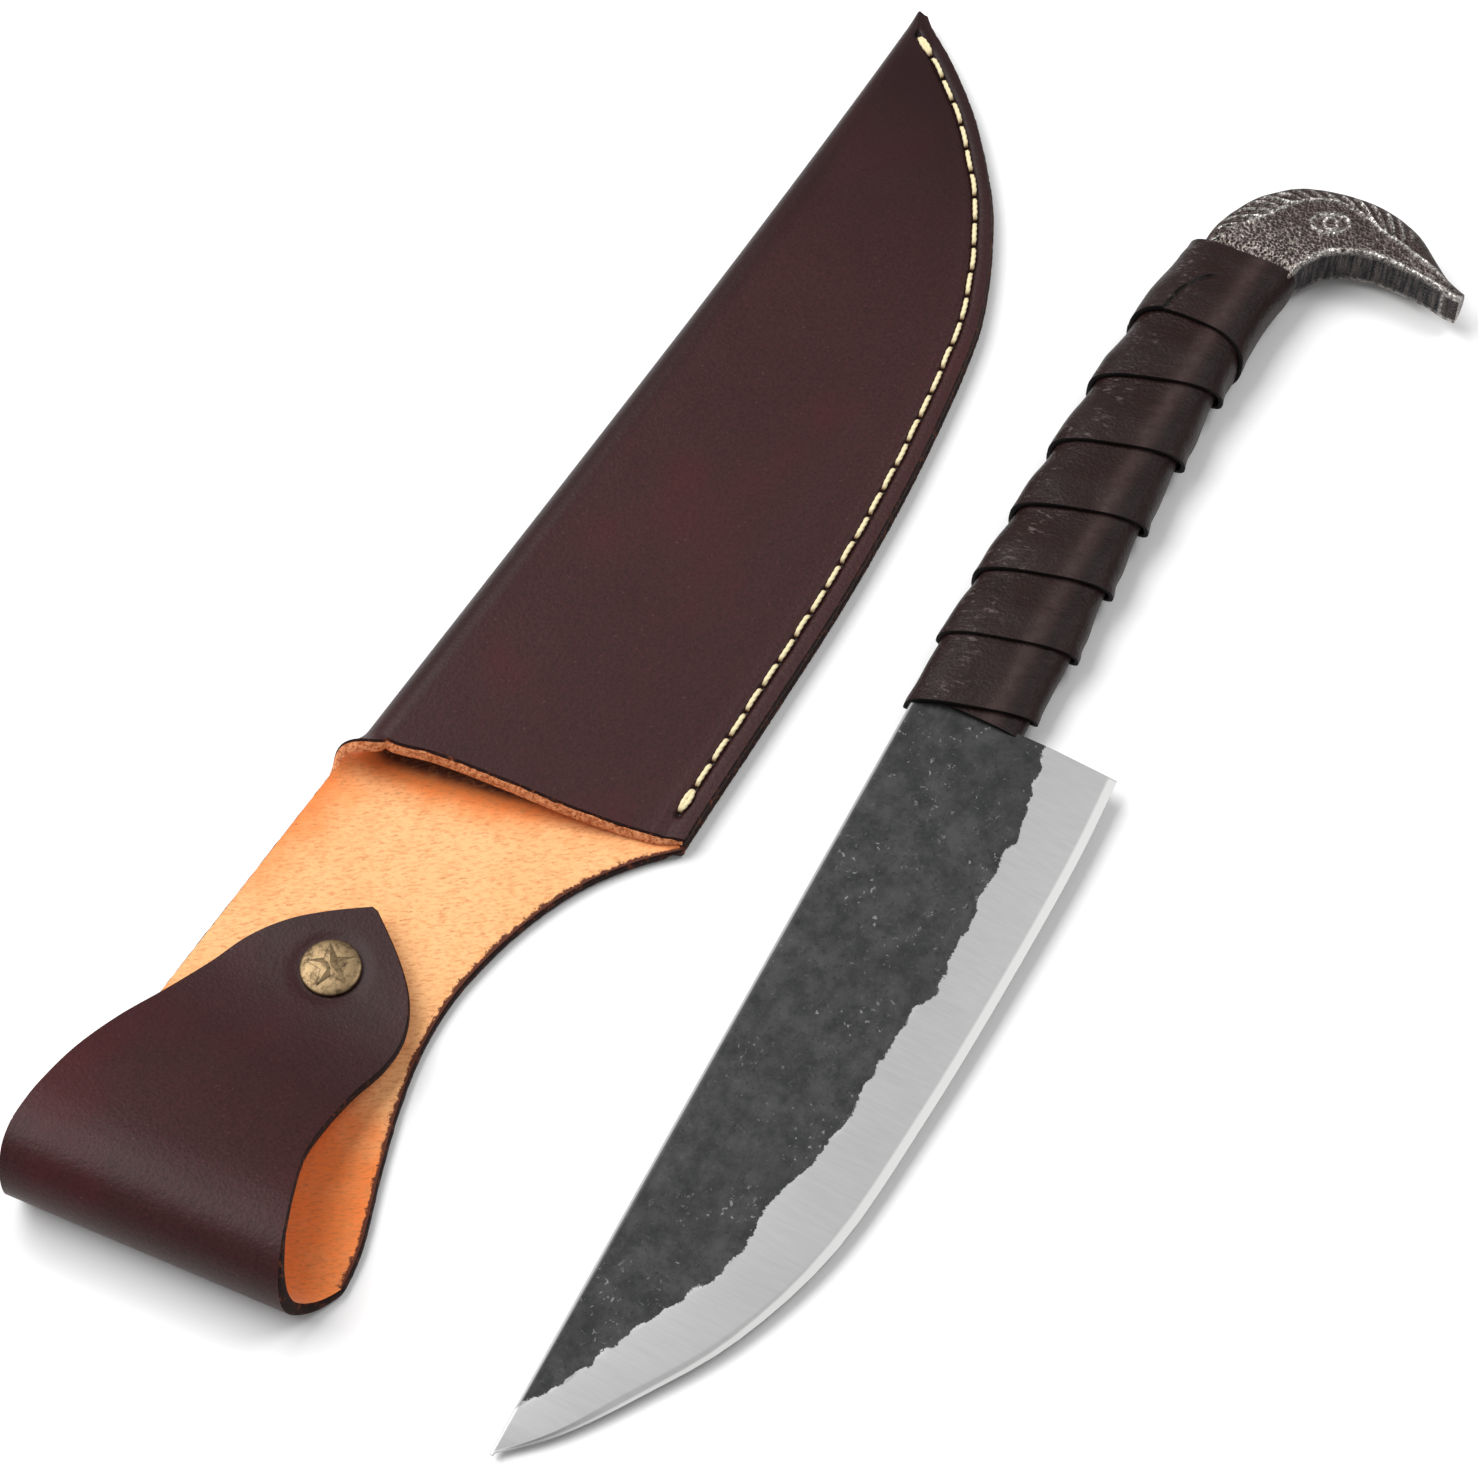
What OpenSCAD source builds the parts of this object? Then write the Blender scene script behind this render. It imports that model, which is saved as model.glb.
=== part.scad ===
// Forged knife with a leather-wrapped grip and a bird-head pommel, beside its belt sheath.
// Millimetres. Both lie on the plane z = 0. +X runs along the sheath's spine to its tip,
// +Y points to the spine's side, and +Z points up.

/* [Blade] */
// Length of the blade from the point to the heel
blade_length = 169.5; // [160:0.5:180]
// Greatest depth of the blade
blade_width = 42.5; // [40:0.5:45]
// Thickness of the spine at the heel
spine_thick = 4; // [3:0.5:5]
// Thickness of the ground edge
edge_thick = 0.4; // [0.2:0.1:0.8]
// Share of the blade's depth above the ground bevel
bevel_start = 0.68; // [0.5:0.02:0.8]

/* [Grip] */
// Length of the leather-covered grip
grip_length = 118; // [110:1:126]
// Width of the steel under the grip at the blade
tang_width = 20.4; // [19:0.2:21]
// Thickness of the steel under the grip at the blade
tang_thick = 4.4; // [4:0.1:5]
// Width of the steel at the pommel
neck_width = 18.2; // [17:0.2:18.6]
// Thickness of the steel at the pommel
neck_thick = 8.8; // [8:0.1:9]
// Thickness of the leather sleeve under the wrap
sleeve_thick = 0.8; // [0.6:0.1:1]
// Thickness of the wrapped strip
strip_thick = 0.9; // [0.7:0.1:1.1]
// Distance from one turn of the strip to the next
strip_pitch = 17; // [16:0.1:17.2]
// How far each turn leans towards the pommel across the grip
strip_lean = 8.5; // [6:0.5:10]
// How far the grip bends towards the beak at the pommel
grip_drop = 3.3; // [2.4:0.1:3.6]

/* [Pommel head] */
// Thickness of the head across its cheeks
head_thick = 10; // [9:0.5:12]
// Thickness of the feather crest round the head
crest_thick = 8.6; // [7.5:0.1:9]
// Length of the eye
eye_length = 7.6; // [6:0.2:9]

/* [Sheath] */
// Length of the pocket along its folded spine
pocket_length = 212; // [200:1:225]
// Depth of the pocket from the spine to the stitched edge
pocket_width = 64; // [60:1:70]
// Thickness of the leather
leather = 2.4; // [2:0.1:2.8]
// Height of the folded spine at the mouth
mouth_height = 11.5; // [10.5:0.5:13]
// Width of the flat stitched margin
seam_margin = 8; // [7:0.5:10]
// How far the mouth leans along its width
mouth_slant = 12; // [8:1:16]
// Width of the strap beyond the spine line
strap_over = 1.5; // [0.5:0.5:2.5]

/* [Stitching] */
// Number of stitches along the seam
stitch_count = 32; // [20:1:33]
// Distance from one stitch to the next
stitch_pitch = 6.38; // [6:0.01:6.4]
// Length of the visible run of each stitch
stitch_length = 5; // [3:0.1:5.4]
// Diameter of the waxed thread
thread_d = 1; // [0.8:0.1:1.2]
// Distance of the seam from the cut edge
seam_inset = 3.7; // [3.2:0.1:5]

/* [Belt loop] */
// Outer radius of the fold at the loop's end
loop_radius = 10; // [9:0.5:12]
// Height of the flap's top face at the snap
flap_height = 8; // [7.8:0.1:9]

/* [Snap] */
// Diameter of the snap's domed cap
snap_d = 11.5; // [11:0.5:13]
// Height of the dome
dome_h = 1.9; // [1.4:0.1:2.4]
// Radius of the stud on the strap
stud_r = 2.5; // [2:0.1:2.8]
// Clearance between the stud and the socket
snap_gap = 0.35; // [0.3:0.05:0.6]

/* [Layout] */
// How far the knife is turned from the sheath's direction, degrees
knife_turn = 5.1; // [0:0.1:8]
// How far the knife slopes up to its pommel as it lies on the wrap, degrees
knife_tilt = 1.1; // [0.9:0.05:1.3]
// Height of the blade's middle plane at the point
point_height = 1.5; // [1.4:0.05:3]

/* [Hidden] */

// Where the sheath's mouth meets its spine, and where the knife's point lies
sheath_at = [-50.32, 64.55];
knife_at = [-153.92, -34.95];

// Stations along the knife, and the middle of the grip across it
heel = blade_length;
grip_end = heel + grip_length;
grip_mid = -11;

// Sections of the knife: the spine's small chamfer, how much of the thickness is left where the
// bevel starts, how full the rounded bar's section is, and how far the bar enters the blade
spine_chamfer = 0.3;
bevel_share = 0.8;
bar_fullness = 0.6;
bar_overlap = 1;

// Wrapped strip: a turn starts proud, over the edge of the turn before, and thins along itself.
// Each pair is [share of the pitch, layers of strip].
strip_profile = [[0, 1.9], [0.5, 1.5], [0.97, 1.1]];
first_turn_layers = 1.2;
wrap_turns = 6;
wrap_start = heel + 1.5;
fit_gap = 0.05;
wrap_below = sleeve_thick + fit_gap;

// Strip end by the pommel: [share of its length, layers of strip]. Its lean dies away along it.
strip_end_profile = [[0, 2], [0.4, 1.9], [0.8, 1.6], [1, 1.1]];

// Blade depth as shares of its length and width, from the point to the heel
blade_shape = [[0, 0], [0.05, 0.215], [0.125, 0.435], [0.225, 0.68], [0.36, 0.865],
               [0.53, 0.94], [0.7, 0.98], [0.88, 1], [1, 0.987]];

// Outline of the head from the neck, round the crown to the beak, and back along the throat.
// Each point is [along the knife from the grip's end, across from the spine line].
crown = [[0, -5.9], [2.5, -6.4], [11.5, -8.8], [17.5, -12], [22, -17.5], [24.9, -24.5],
         [26.1, -31.5], [25, -40], [22.4, -46], [17.5, -52], [14, -57.4], [13, -59.2]];
throat = [[12, -58.8], [11.1, -55], [12.4, -47.5], [12.6, -40], [12.3, -35], [9.6, -30.6],
          [4.5, -27], [0, -25.2]];
cheek_inset = 3.2;
eye_at = [16.7, -28.1];
eye_turn = -64;
eye_height = 0.4;

// Pocket edge as shares of its length and width, from the tip to the mouth's corner
pocket_shape = [[1, -0.02], [0.984, 0.035], [0.957, 0.169], [0.909, 0.353], [0.847, 0.527],
                [0.801, 0.625], [0.736, 0.731], [0.667, 0.806], [0.52, 0.894],
                [0.373, 0.947], [0.226, 0.973], [0.083, 0.992], [0.067, 1]];

// The folded spine bows outwards towards the tip: its place at the mouth, and how far it bows
spine_start = -0.9;
spine_bow = 3.7;

// How far the back panel stays inside the rounded fold, and where the fold dies into the strap
fold_tuck = 1.2;
fold_from = 1;
strap_from = -2;

// Height of the fold over the two layers at the tip, and how the height falls along the pocket
tip_rise = 0.4;
height_power = 2.2;

// Share of the front face's rise that is straight, the rest being crowned
straight_share = 0.6;

// First and last section of the front panel, in from the mouth and from the tip
front_end = 2.6;
front_sections = 26;

// Seam: where the first stitch starts, and the thread's clearance from the leather
seam_start = 7.5;
thread_lift = 0.16;
groove_half = 0.7;

// Free edge of the strap from the mouth's corner to the loop's fold, in sheath coordinates
strap_edge = [[13.6, -63.6], [7.8, -58.4], [-0.7, -52.8], [-10.2, -48.8], [-21.4, -46],
              [-34, -44.6], [-46, -45.6], [-57.5, -48.5], [-70, -53], [-84, -58.6],
              [-92.6, -60.4]];

// Line of the loop's fold: its middle, and how far it leans per millimetre of width
fold_mid = [-97.3, -28.5];
fold_lean = 0.1485;

// Loop fold stations: [angle round the fold, spine-side edge, free edge]
fold_rows = [[-90, 1.5, -60.4], [-60, 0.6, -58.8], [-30, -0.6, -57.1], [0, -1.2, -56.2],
             [30, -0.5, -55], [60, 0.8, -53.2], [90, 1.8, -51]];

// Flap stations from the fold to the tip:
// [x and y of the spine-side edge, x and y of the free edge, height above the snap's level]
flap_rows = [[fold_x(1.8), 1.8, fold_x(-51), -51, 12], [-93.2, 2.4, -86.5, -47.5, 11],
             [-84, 2.2, -79, -44.4, 8.6], [-74, 0.6, -71, -43.2, 5.5],
             [-64, -2.3, -63, -43, 2.6], [-56.5, -4.6, -57, -43.9, 0.6],
             [-50.4, -6.3, -51.6, -44, 0], [-45.5, -8, -47.2, -43, 0],
             [-39.7, -11.8, -41.2, -39.6, 0], [-34, -17.4, -35.3, -33.2, -0.1],
             [-29.2, -23.3, -29.4, -24.5, -0.3]];
snap_at = [-43.8, -24.3];
flap_under = flap_height - leather;

// Snap: the post through the leather, the stud's flange under the strap, and the socket
post_r = 1.6;
flange_r = 4.5;
flange_h = 0.6;
socket_r = 5.2;
cap_r = snap_d / 2;
cap_rim = 0.4;
star_r = 0.62 * cap_r;
star_waist = 0.42;
stud_base = leather + 0.5;
stud_top = flap_under - 0.6;
socket_base = stud_base + 0.3;
socket_roof = flap_under - 0.3;
seat_gap = 0.05;

leather_brown = [0.27, 0.16, 0.17];
leather_tan = [0.85, 0.55, 0.33];
scale_grey = [0.25, 0.25, 0.26];
pewter = [0.36, 0.33, 0.31];
thread_cream = [0.9, 0.86, 0.76];
old_brass = [0.55, 0.48, 0.34];

// ---- Curves and lofts ----

// A smooth line through all the points of p, with n steps between neighbours
function spline(a, b, c, d, t) =
    0.5 * (2 * b + (c - a) * t + (2 * a - 5 * b + 4 * c - d) * t * t
           + (3 * b - a - 3 * c + d) * t * t * t);
function smooth_line(p, n = 4) = [
    for (i = [0 : len(p) - 2], k = [0 : n - 1])
        spline(p[max(i - 1, 0)], p[i], p[i + 1], p[min(i + 2, len(p) - 1)], k / n),
    p[len(p) - 1]];

// A share table turned into millimetres, a list turned round, and n equal steps from a to b
function sized(p, l, w) = [for (q = p) [q.x * l, -q.y * w]];
function reversed(p) = [for (i = [len(p) - 1 : -1 : 0]) p[i]];
function spaced(a, b, n) = [for (i = [0 : n]) a + (b - a) * i / n];

// The line p moved sideways by d, to the left of its direction
function moved(p, d) = [for (i = [0 : len(p) - 1])
    let (a = p[max(i - 1, 0)], b = p[min(i + 1, len(p) - 1)], t = (b - a) / norm(b - a))
    p[i] + d * [-t.y, t.x]];

// Distance run along the line p, paired with the coordinate c of each point
function run_table(p, c) = [
    for (i = 0, s = 0; i < len(p);
         s = s + (i < len(p) - 1 ? norm(p[i + 1] - p[i]) : 0), i = i + 1)
        [s, p[i][c]]];

// A closed solid through rings of points. All rings have the same number of points, and each
// one runs counter-clockwise as seen from the last ring.
module loft(rings) {
    n = len(rings[0]);
    m = len(rings);
    sides = [for (j = [0 : m - 2], i = [0 : n - 1])
        let (a = j * n + i, b = j * n + (i + 1) % n)
        each [[b, a, b + n], [b + n, a, a + n]]];
    first = [for (i = [0 : n - 1]) i];
    last = [for (i = [n - 1 : -1 : 0]) (m - 1) * n + i];
    polyhedron(points = [for (r = rings) each r], faces = concat([first, last], sides));
}

module place_sheath() translate([sheath_at.x, sheath_at.y, 0]) children();
module place_knife() translate([knife_at.x, knife_at.y, point_height])
    rotate([0, -knife_tilt, knife_turn]) children();

// ---- Knife ----

blade_edge = smooth_line(sized(blade_shape, blade_length, blade_width), 4);
function taper(u) = 0.5 + 0.5 * min(1, u / blade_length * 1.6);
function blade_ring(u) =
    let (deep = min(lookup(u, blade_edge), -0.6), half = spine_thick / 2 * taper(u),
         turn = deep * bevel_start, e = edge_thick / 2)
    [[u, 0, half - spine_chamfer], [u, turn, half * bevel_share], [u, deep, e], [u, deep, -e],
     [u, turn, -half * bevel_share], [u, 0, spine_chamfer - half]];

// The steel under the grip at u, grown by the leather over it, and leaning across the grip
function along(u) = max(0, (u - heel) / grip_length);
function bar_ring(u, over, lean = 0, steps = 20) = [for (i = [0 : steps - 1])
    let (a = 360 * i / steps, c = cos(a), s = sin(a),
         w = tang_width + (neck_width - tang_width) * along(u) + 2 * over,
         t = tang_thick + (neck_thick - tang_thick) * along(u) + 2 * over,
         y = w / 2 * sign(c) * pow(abs(c), bar_fullness),
         z = t / 2 * sign(s) * pow(abs(s), bar_fullness))
    [u - lean * y / w, grip_mid - grip_drop * pow(along(u), 3) + y, z]];

module blade() {
    color(scale_grey) place_knife() {
        loft([for (p = blade_edge) blade_ring(p.x)]);
        loft([for (u = spaced(heel - bar_overlap, grip_end, 7)) bar_ring(u, 0)]);
    }
}

// The head's outline between the crown and the throat
module head_outline() {
    polygon(concat(smooth_line(crown, 3), smooth_line(throat, 3)));
}

module pommel_head() {
    color(pewter) place_knife() translate([grip_end, 0, 0]) {
        linear_extrude(crest_thick, center = true) head_outline();
        linear_extrude(head_thick, center = true) offset(delta = -cheek_inset) head_outline();
        for (side = [-1, 1])
            translate([eye_at.x, eye_at.y, side * head_thick / 2]) rotate(eye_turn)
                linear_extrude(2 * eye_height, center = true) intersection() {
                    translate([0, eye_length * 0.36]) circle(r = eye_length * 0.62, $fn = 48);
                    translate([0, -eye_length * 0.36]) circle(r = eye_length * 0.62, $fn = 48);
                }
    }
}

// A leather tube on the grip. Each station is [place along the knife, thickness over the
// steel, lean across the grip], and the hollow inside it clears whatever lies below.
module grip_tube(stations, below) {
    difference() {
        loft([for (s = stations) bar_ring(s[0], s[1], s[2])]);
        loft([for (u = spaced(heel - 10, grip_end + 10, 9)) bar_ring(u, below)]);
    }
}

module grip_sleeve() {
    color(leather_brown) place_knife()
        grip_tube([for (u = spaced(heel + fit_gap, grip_end, 7)) [u, sleeve_thick, 0]],
                  fit_gap);
}

module grip_wrap() {
    color(leather_brown) place_knife()
        grip_tube([for (k = [0 : wrap_turns - 1], q = strip_profile)
                       [wrap_start + (k + q.x) * strip_pitch,
                        sleeve_thick + (k < 1 ? min(q.y, first_turn_layers) : q.y) * strip_thick,
                        strip_lean]],
                  wrap_below);
}

module grip_wrap_end() {
    start = wrap_start + wrap_turns * strip_pitch;
    color(leather_brown) place_knife()
        grip_tube([for (q = strip_end_profile)
                       [start + q.x * (grip_end - start), sleeve_thick + q.y * strip_thick,
                        strip_lean * (1 - q.x)]],
                  wrap_below);
}

// ---- Sheath ----

pocket_edge = smooth_line(sized(pocket_shape, pocket_length, pocket_width), 4);
edge_by_x = reversed(pocket_edge);
seam_line = moved(pocket_edge, -seam_inset);
seam_x = run_table(seam_line, 0);
seam_y = run_table(seam_line, 1);

function spine_y(x) = spine_start + spine_bow * pow(x / pocket_length, 3);
function fold_x(y) = fold_mid.x - fold_lean * (y - fold_mid.y);

module blank_outline() {
    polygon(concat(pocket_edge, smooth_line(strap_edge, 4),
                   [[fold_x(strap_over), strap_over], [strap_from, strap_over]],
                   [for (x = spaced(fold_from, pocket_length - 2, 12))
                       [x, spine_y(x) - fold_tuck]]));
}

module back_panel() {
    color(leather_tan) place_sheath() difference() {
        linear_extrude(leather) blank_outline();
        translate([0, 0, -1]) linear_extrude(1 + thread_d + 2 * thread_lift)
            polygon(concat(moved(pocket_edge, -seam_inset - groove_half * thread_d),
                           reversed(moved(pocket_edge, -seam_inset + groove_half * thread_d))));
        translate([snap_at.x, snap_at.y, -1]) cylinder(h = leather + 2, r = post_r, $fn = 40);
        translate([snap_at.x, snap_at.y, -1]) cylinder(h = 1 + flange_h, r = flange_r, $fn = 40);
    }
}

// Height of the pocket's folded spine at x, and the crown of its front face
function spine_h(x) = 2 * leather + tip_rise
    + (mouth_height - 2 * leather - tip_rise) * (1 - pow(x / pocket_length, height_power));
function crowned(t) = straight_share * t + (1 - straight_share) * sin(90 * t);
function front_ring(xs) =
    let (lean = mouth_slant * (1 - xs / pocket_length),
         sy = spine_y(xs), ye = lookup(xs + lean, edge_by_x) - sy, wide = abs(ye),
         m = min(seam_margin, wide * 0.56), h = spine_h(xs), r = min(h / 2, wide * 0.35),
         ri = max(r - leather, 0.15), low = asin(min(0.9, (h / 2 - leather) / (h / 2))),
         outer = concat([[ye, 2 * leather]],
             [for (i = [0 : 7]) let (t = i / 7)
                 [ye + m + t * (wide - m - r), 2 * leather + (h - 2 * leather) * crowned(t)]],
             [for (a = [67 : -23 : -2]) [r * (cos(a) - 1), h / 2 * (1 + sin(a))]],
             [[r * (cos(low) - 1), leather]]),
         inner = concat([[ri * cos(low) - r, leather]],
             [for (a = [-2 : 23 : 67]) [ri * cos(a) - r, h / 2 + (h / 2 - leather) * sin(a)]],
             [for (i = [7 : -1 : 1]) let (t = i / 7)
                 [ye + m + t * (wide - m - r), leather + (h - 2 * leather) * crowned(t)]],
             [[ye, leather]]))
    [for (p = reversed(concat(outer, inner)))
        [xs + lean * abs(p.x) / pocket_width, sy + p.x, p.y]];

module front_panel() {
    color(leather_brown) place_sheath()
        loft([for (t = spaced(0, 1, front_sections))
            front_ring(front_end + (pocket_length - 2 * front_end) * sin(90 * t))]);
}

// The straight runs of thread between the stitch holes, on one face of the seam
module thread_runs(z) {
    for (i = [0 : stitch_count - 1]) {
        s = seam_start + i * stitch_pitch;
        a = [lookup(s, seam_x), lookup(s, seam_y)];
        b = [lookup(s + stitch_length, seam_x), lookup(s + stitch_length, seam_y)];
        translate([a.x, a.y, z]) rotate([0, 0, atan2(b.y - a.y, b.x - a.x)])
            rotate([0, 90, 0]) cylinder(h = norm(b - a), r = thread_d / 2, $fn = 16);
    }
}

module front_stitches() {
    color(thread_cream) place_sheath() thread_runs(2 * leather + thread_d / 2 + 2 * thread_lift);
}

module back_stitches() {
    color(thread_cream) place_sheath() thread_runs(thread_d / 2 + thread_lift);
}

// ---- Belt loop ----

module strap_fold() {
    inner = loop_radius - leather;
    color(leather_brown) place_sheath()
        loft([for (q = smooth_line(fold_rows, 2))
            let (c = cos(q[0]), s = sin(q[0]), l = q[1], f = q[2])
            [[fold_x(l) - loop_radius * c, l, loop_radius * (1 + s)],
             [fold_x(f) - loop_radius * c, f, loop_radius * (1 + s)],
             [fold_x(f) - inner * c, f, loop_radius + inner * s],
             [fold_x(l) - inner * c, l, loop_radius + inner * s]]]);
}

module belt_flap() {
    color(leather_brown) place_sheath() difference() {
        loft([for (q = smooth_line(flap_rows, 3)) let (z = flap_height + q[4])
            [[q[0], q[1], z], [q[2], q[3], z],
             [q[2], q[3], z - leather], [q[0], q[1], z - leather]]]);
        translate([snap_at.x, snap_at.y, 0]) cylinder(h = 30, r = post_r, $fn = 24);
    }
}

// ---- Snap ----

module five_star(r) {
    polygon([for (i = [0 : 9]) let (q = i % 2 == 0 ? r : star_waist * r)
        q * [cos(36 * i), sin(36 * i)]]);
}

module snap_cap() {
    color(old_brass) place_sheath() translate([snap_at.x, snap_at.y, flap_height + seat_gap]) {
        rotate_extrude($fn = 60) polygon(concat([[0, 0], [cap_r, 0]],
            [for (a = [0 : 15 : 75]) [cap_r * cos(a), cap_rim + (dome_h - cap_rim) * sin(a)]],
            [[0, dome_h]]));
        translate([0, 0, dome_h - cap_rim]) linear_extrude(cap_rim) five_star(star_r);
        translate([0, 0, -leather - 2 * seat_gap])
            cylinder(h = leather + cap_rim, r = post_r, $fn = 24);
    }
}

module snap_socket() {
    color(old_brass) place_sheath() translate([snap_at.x, snap_at.y, 0]) difference() {
        translate([0, 0, socket_base])
            cylinder(h = flap_under - seat_gap - socket_base, r = socket_r, $fn = 48);
        cylinder(h = socket_roof, r = stud_r + snap_gap, $fn = 40);
    }
}

module snap_stud() {
    color(old_brass) place_sheath() translate([snap_at.x, snap_at.y, 0]) {
        translate([0, 0, leather]) cylinder(h = stud_base - leather, r = flange_r, $fn = 40);
        translate([0, 0, stud_base]) cylinder(h = stud_top - stud_base, r = stud_r, $fn = 40);
    }
}

module snap_post() {
    color(old_brass) place_sheath() translate([snap_at.x, snap_at.y, 0]) {
        cylinder(h = leather, r = post_r, $fn = 40);
        cylinder(h = flange_h, r = flange_r, $fn = 40);
    }
}

blade();
pommel_head();
grip_sleeve();
grip_wrap();
grip_wrap_end();
back_panel();
front_panel();
front_stitches();
back_stitches();
strap_fold();
belt_flap();
snap_cap();
snap_socket();
snap_stud();
snap_post();
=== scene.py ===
import math

import bmesh
import bpy
import numpy as np
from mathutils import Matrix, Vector, noise


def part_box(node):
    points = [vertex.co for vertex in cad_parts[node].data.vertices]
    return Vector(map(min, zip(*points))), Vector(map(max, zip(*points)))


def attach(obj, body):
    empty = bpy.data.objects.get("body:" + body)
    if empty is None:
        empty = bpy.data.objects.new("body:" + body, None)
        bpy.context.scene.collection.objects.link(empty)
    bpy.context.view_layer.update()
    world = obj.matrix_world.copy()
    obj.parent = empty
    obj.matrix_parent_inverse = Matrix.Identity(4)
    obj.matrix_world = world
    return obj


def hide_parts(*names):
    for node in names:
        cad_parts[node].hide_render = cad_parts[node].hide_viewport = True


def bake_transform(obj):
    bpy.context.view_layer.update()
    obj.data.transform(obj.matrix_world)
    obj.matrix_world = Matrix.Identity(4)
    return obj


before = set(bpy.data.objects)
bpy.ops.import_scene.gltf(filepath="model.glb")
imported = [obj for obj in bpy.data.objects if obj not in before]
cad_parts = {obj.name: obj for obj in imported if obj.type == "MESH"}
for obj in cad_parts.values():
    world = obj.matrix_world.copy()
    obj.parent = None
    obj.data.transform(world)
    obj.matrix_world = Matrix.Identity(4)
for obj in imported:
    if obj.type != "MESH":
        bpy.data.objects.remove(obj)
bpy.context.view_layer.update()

MM = 0.001

# ---- Where the two objects lie, read from the frame, in millimetres ----

STRAP_OVER = 1.5
POCKET_LENGTH = 212.0
POCKET_WIDTH = 64.0


def corner(node, which):
    """Lowest (0) or highest (1) corner of a CAD node, in millimetres."""
    return np.array(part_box(node)[which]) / MM


SHEATH_AT = corner("back_panel", 1) * (1, 1, 0) - (POCKET_LENGTH, STRAP_OVER, 0)
KNIFE_TURN = math.radians(5.1)
KNIFE_TILT = math.radians(1.1)
POINT_HEIGHT = 1.5
TABLE_GAP = 0.03
point = min((v.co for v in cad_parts["blade"].data.vertices), key=lambda co: co.x)
KNIFE_AT = np.array([point.x / MM, point.y / MM, POINT_HEIGHT])


def in_sheath(p):
    """Points of the sheath's own frame, moved to the row's frame."""
    return np.asarray(p, float) + SHEATH_AT


def in_knife(p):
    """Points of the knife's own frame (along, across towards the spine, up), in the row's frame."""
    p = np.asarray(p, float)
    ct, st = math.cos(KNIFE_TILT), math.sin(KNIFE_TILT)
    cr, sr = math.cos(KNIFE_TURN), math.sin(KNIFE_TURN)
    x = p[..., 0] * ct - p[..., 2] * st
    z = p[..., 0] * st + p[..., 2] * ct
    y = p[..., 1]
    row = xyz(x * cr - y * sr, x * sr + y * cr, z) + KNIFE_AT
    row[..., 2] = np.maximum(row[..., 2], TABLE_GAP)
    return row


# ---- Curves ----

def smooth_line(points, steps=4):
    """Catmull-Rom curve through the points."""
    p = np.asarray(points, float)
    out = []
    for i in range(len(p) - 1):
        a, b, c, d = p[max(i - 1, 0)], p[i], p[i + 1], p[min(i + 2, len(p) - 1)]
        for k in range(steps):
            t = k / steps
            out.append(0.5 * (2 * b + (c - a) * t + (2 * a - 5 * b + 4 * c - d) * t ** 2
                              + (3 * b - a - 3 * c + d) * t ** 3))
    out.append(p[-1])
    return np.array(out)


def run_length(p):
    return np.concatenate([[0], np.cumsum(np.linalg.norm(np.diff(p, axis=0), axis=1))])


def at_run(p, s):
    """Points of the line p at the distances s along it."""
    r = run_length(p)
    return np.stack([np.interp(s, r, p[:, k]) for k in range(p.shape[1])], -1)


def evenly(p, count):
    return at_run(p, np.linspace(0, run_length(p)[-1], count))


def ease(t):
    t = np.clip(t, 0, 1)
    return t * t * (3 - 2 * t)


def xyz(x, y, z):
    """Points from their coordinates, which may be arrays or single numbers."""
    return np.stack(np.broadcast_arrays(x, y, z), -1)


def bell(distance, width):
    """1 at no distance, falling smoothly to nothing over about twice the width."""
    return np.exp(-(distance / width) ** 2)


def rounding(share):
    """How far a rounded edge has dropped (1 to 0), from its outline (0) to its full height (1)."""
    return 1 - np.sqrt(1 - (1 - np.clip(share, 0, 1)) ** 2)


def unit(v):
    return v / max(np.linalg.norm(v), 1e-9)


def distance_to_line(p, line):
    """Distance of each point of p (n, 2) from a line of points, and the run length nearest to it."""
    best = np.full(len(p), 1e9)
    where = np.zeros(len(p))
    runs = run_length(line)
    for i in range(len(line) - 1):
        a, d = line[i], line[i + 1] - line[i]
        t = np.clip(((p - a) @ d) / max(d @ d, 1e-12), 0, 1)
        gap = np.linalg.norm(p - a - t[:, None] * d, axis=1)
        near = gap < best
        best = np.where(near, gap, best)
        where = np.where(near, runs[i] + t * (runs[i + 1] - runs[i]), where)
    return best, where


def wander(p, size, seed=0.0):
    """Smooth noise from -1 to 1 at points in millimetres, with features of about that size."""
    q = np.asarray(p, float) / size + seed
    return np.array([noise.noise(Vector(v)) for v in q.reshape(-1, 3)]).reshape(q.shape[:-1])


# ---- Meshes ----

def grid_faces(index):
    a, b, c, d = index[:-1, :-1], index[1:, :-1], index[1:, 1:], index[:-1, 1:]
    return np.stack([a, b, c, d], -1).reshape(-1, 4)


def clean_faces(faces):
    """Faces as tuples, with repeated corners dropped."""
    out = []
    for f in faces.tolist():
        g = [v for k, v in enumerate(f) if v != f[k - 1]]
        if len(g) >= 3 and len(set(g)) == len(g):
            out.append(tuple(g))
    return out


def mesh_object(name, points, faces, materials, slots=None):
    """A mesh object from points in millimetres, with its normals turned outwards."""
    mesh = bpy.data.meshes.new(name)
    mesh.from_pydata((np.asarray(points) * MM).tolist(), [], faces)
    for m in materials:
        mesh.materials.append(m)
    if slots is not None:
        mesh.polygons.foreach_set("material_index", np.asarray(slots, np.int32))
    mesh.polygons.foreach_set("use_smooth", [True] * len(mesh.polygons))
    bm = bmesh.new()
    bm.from_mesh(mesh)
    bmesh.ops.recalc_face_normals(bm, faces=bm.faces)
    bm.to_mesh(mesh)
    bm.free()
    mesh.update()
    ob = bpy.data.objects.new(name, mesh)
    bpy.context.scene.collection.objects.link(ob)
    return ob


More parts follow.
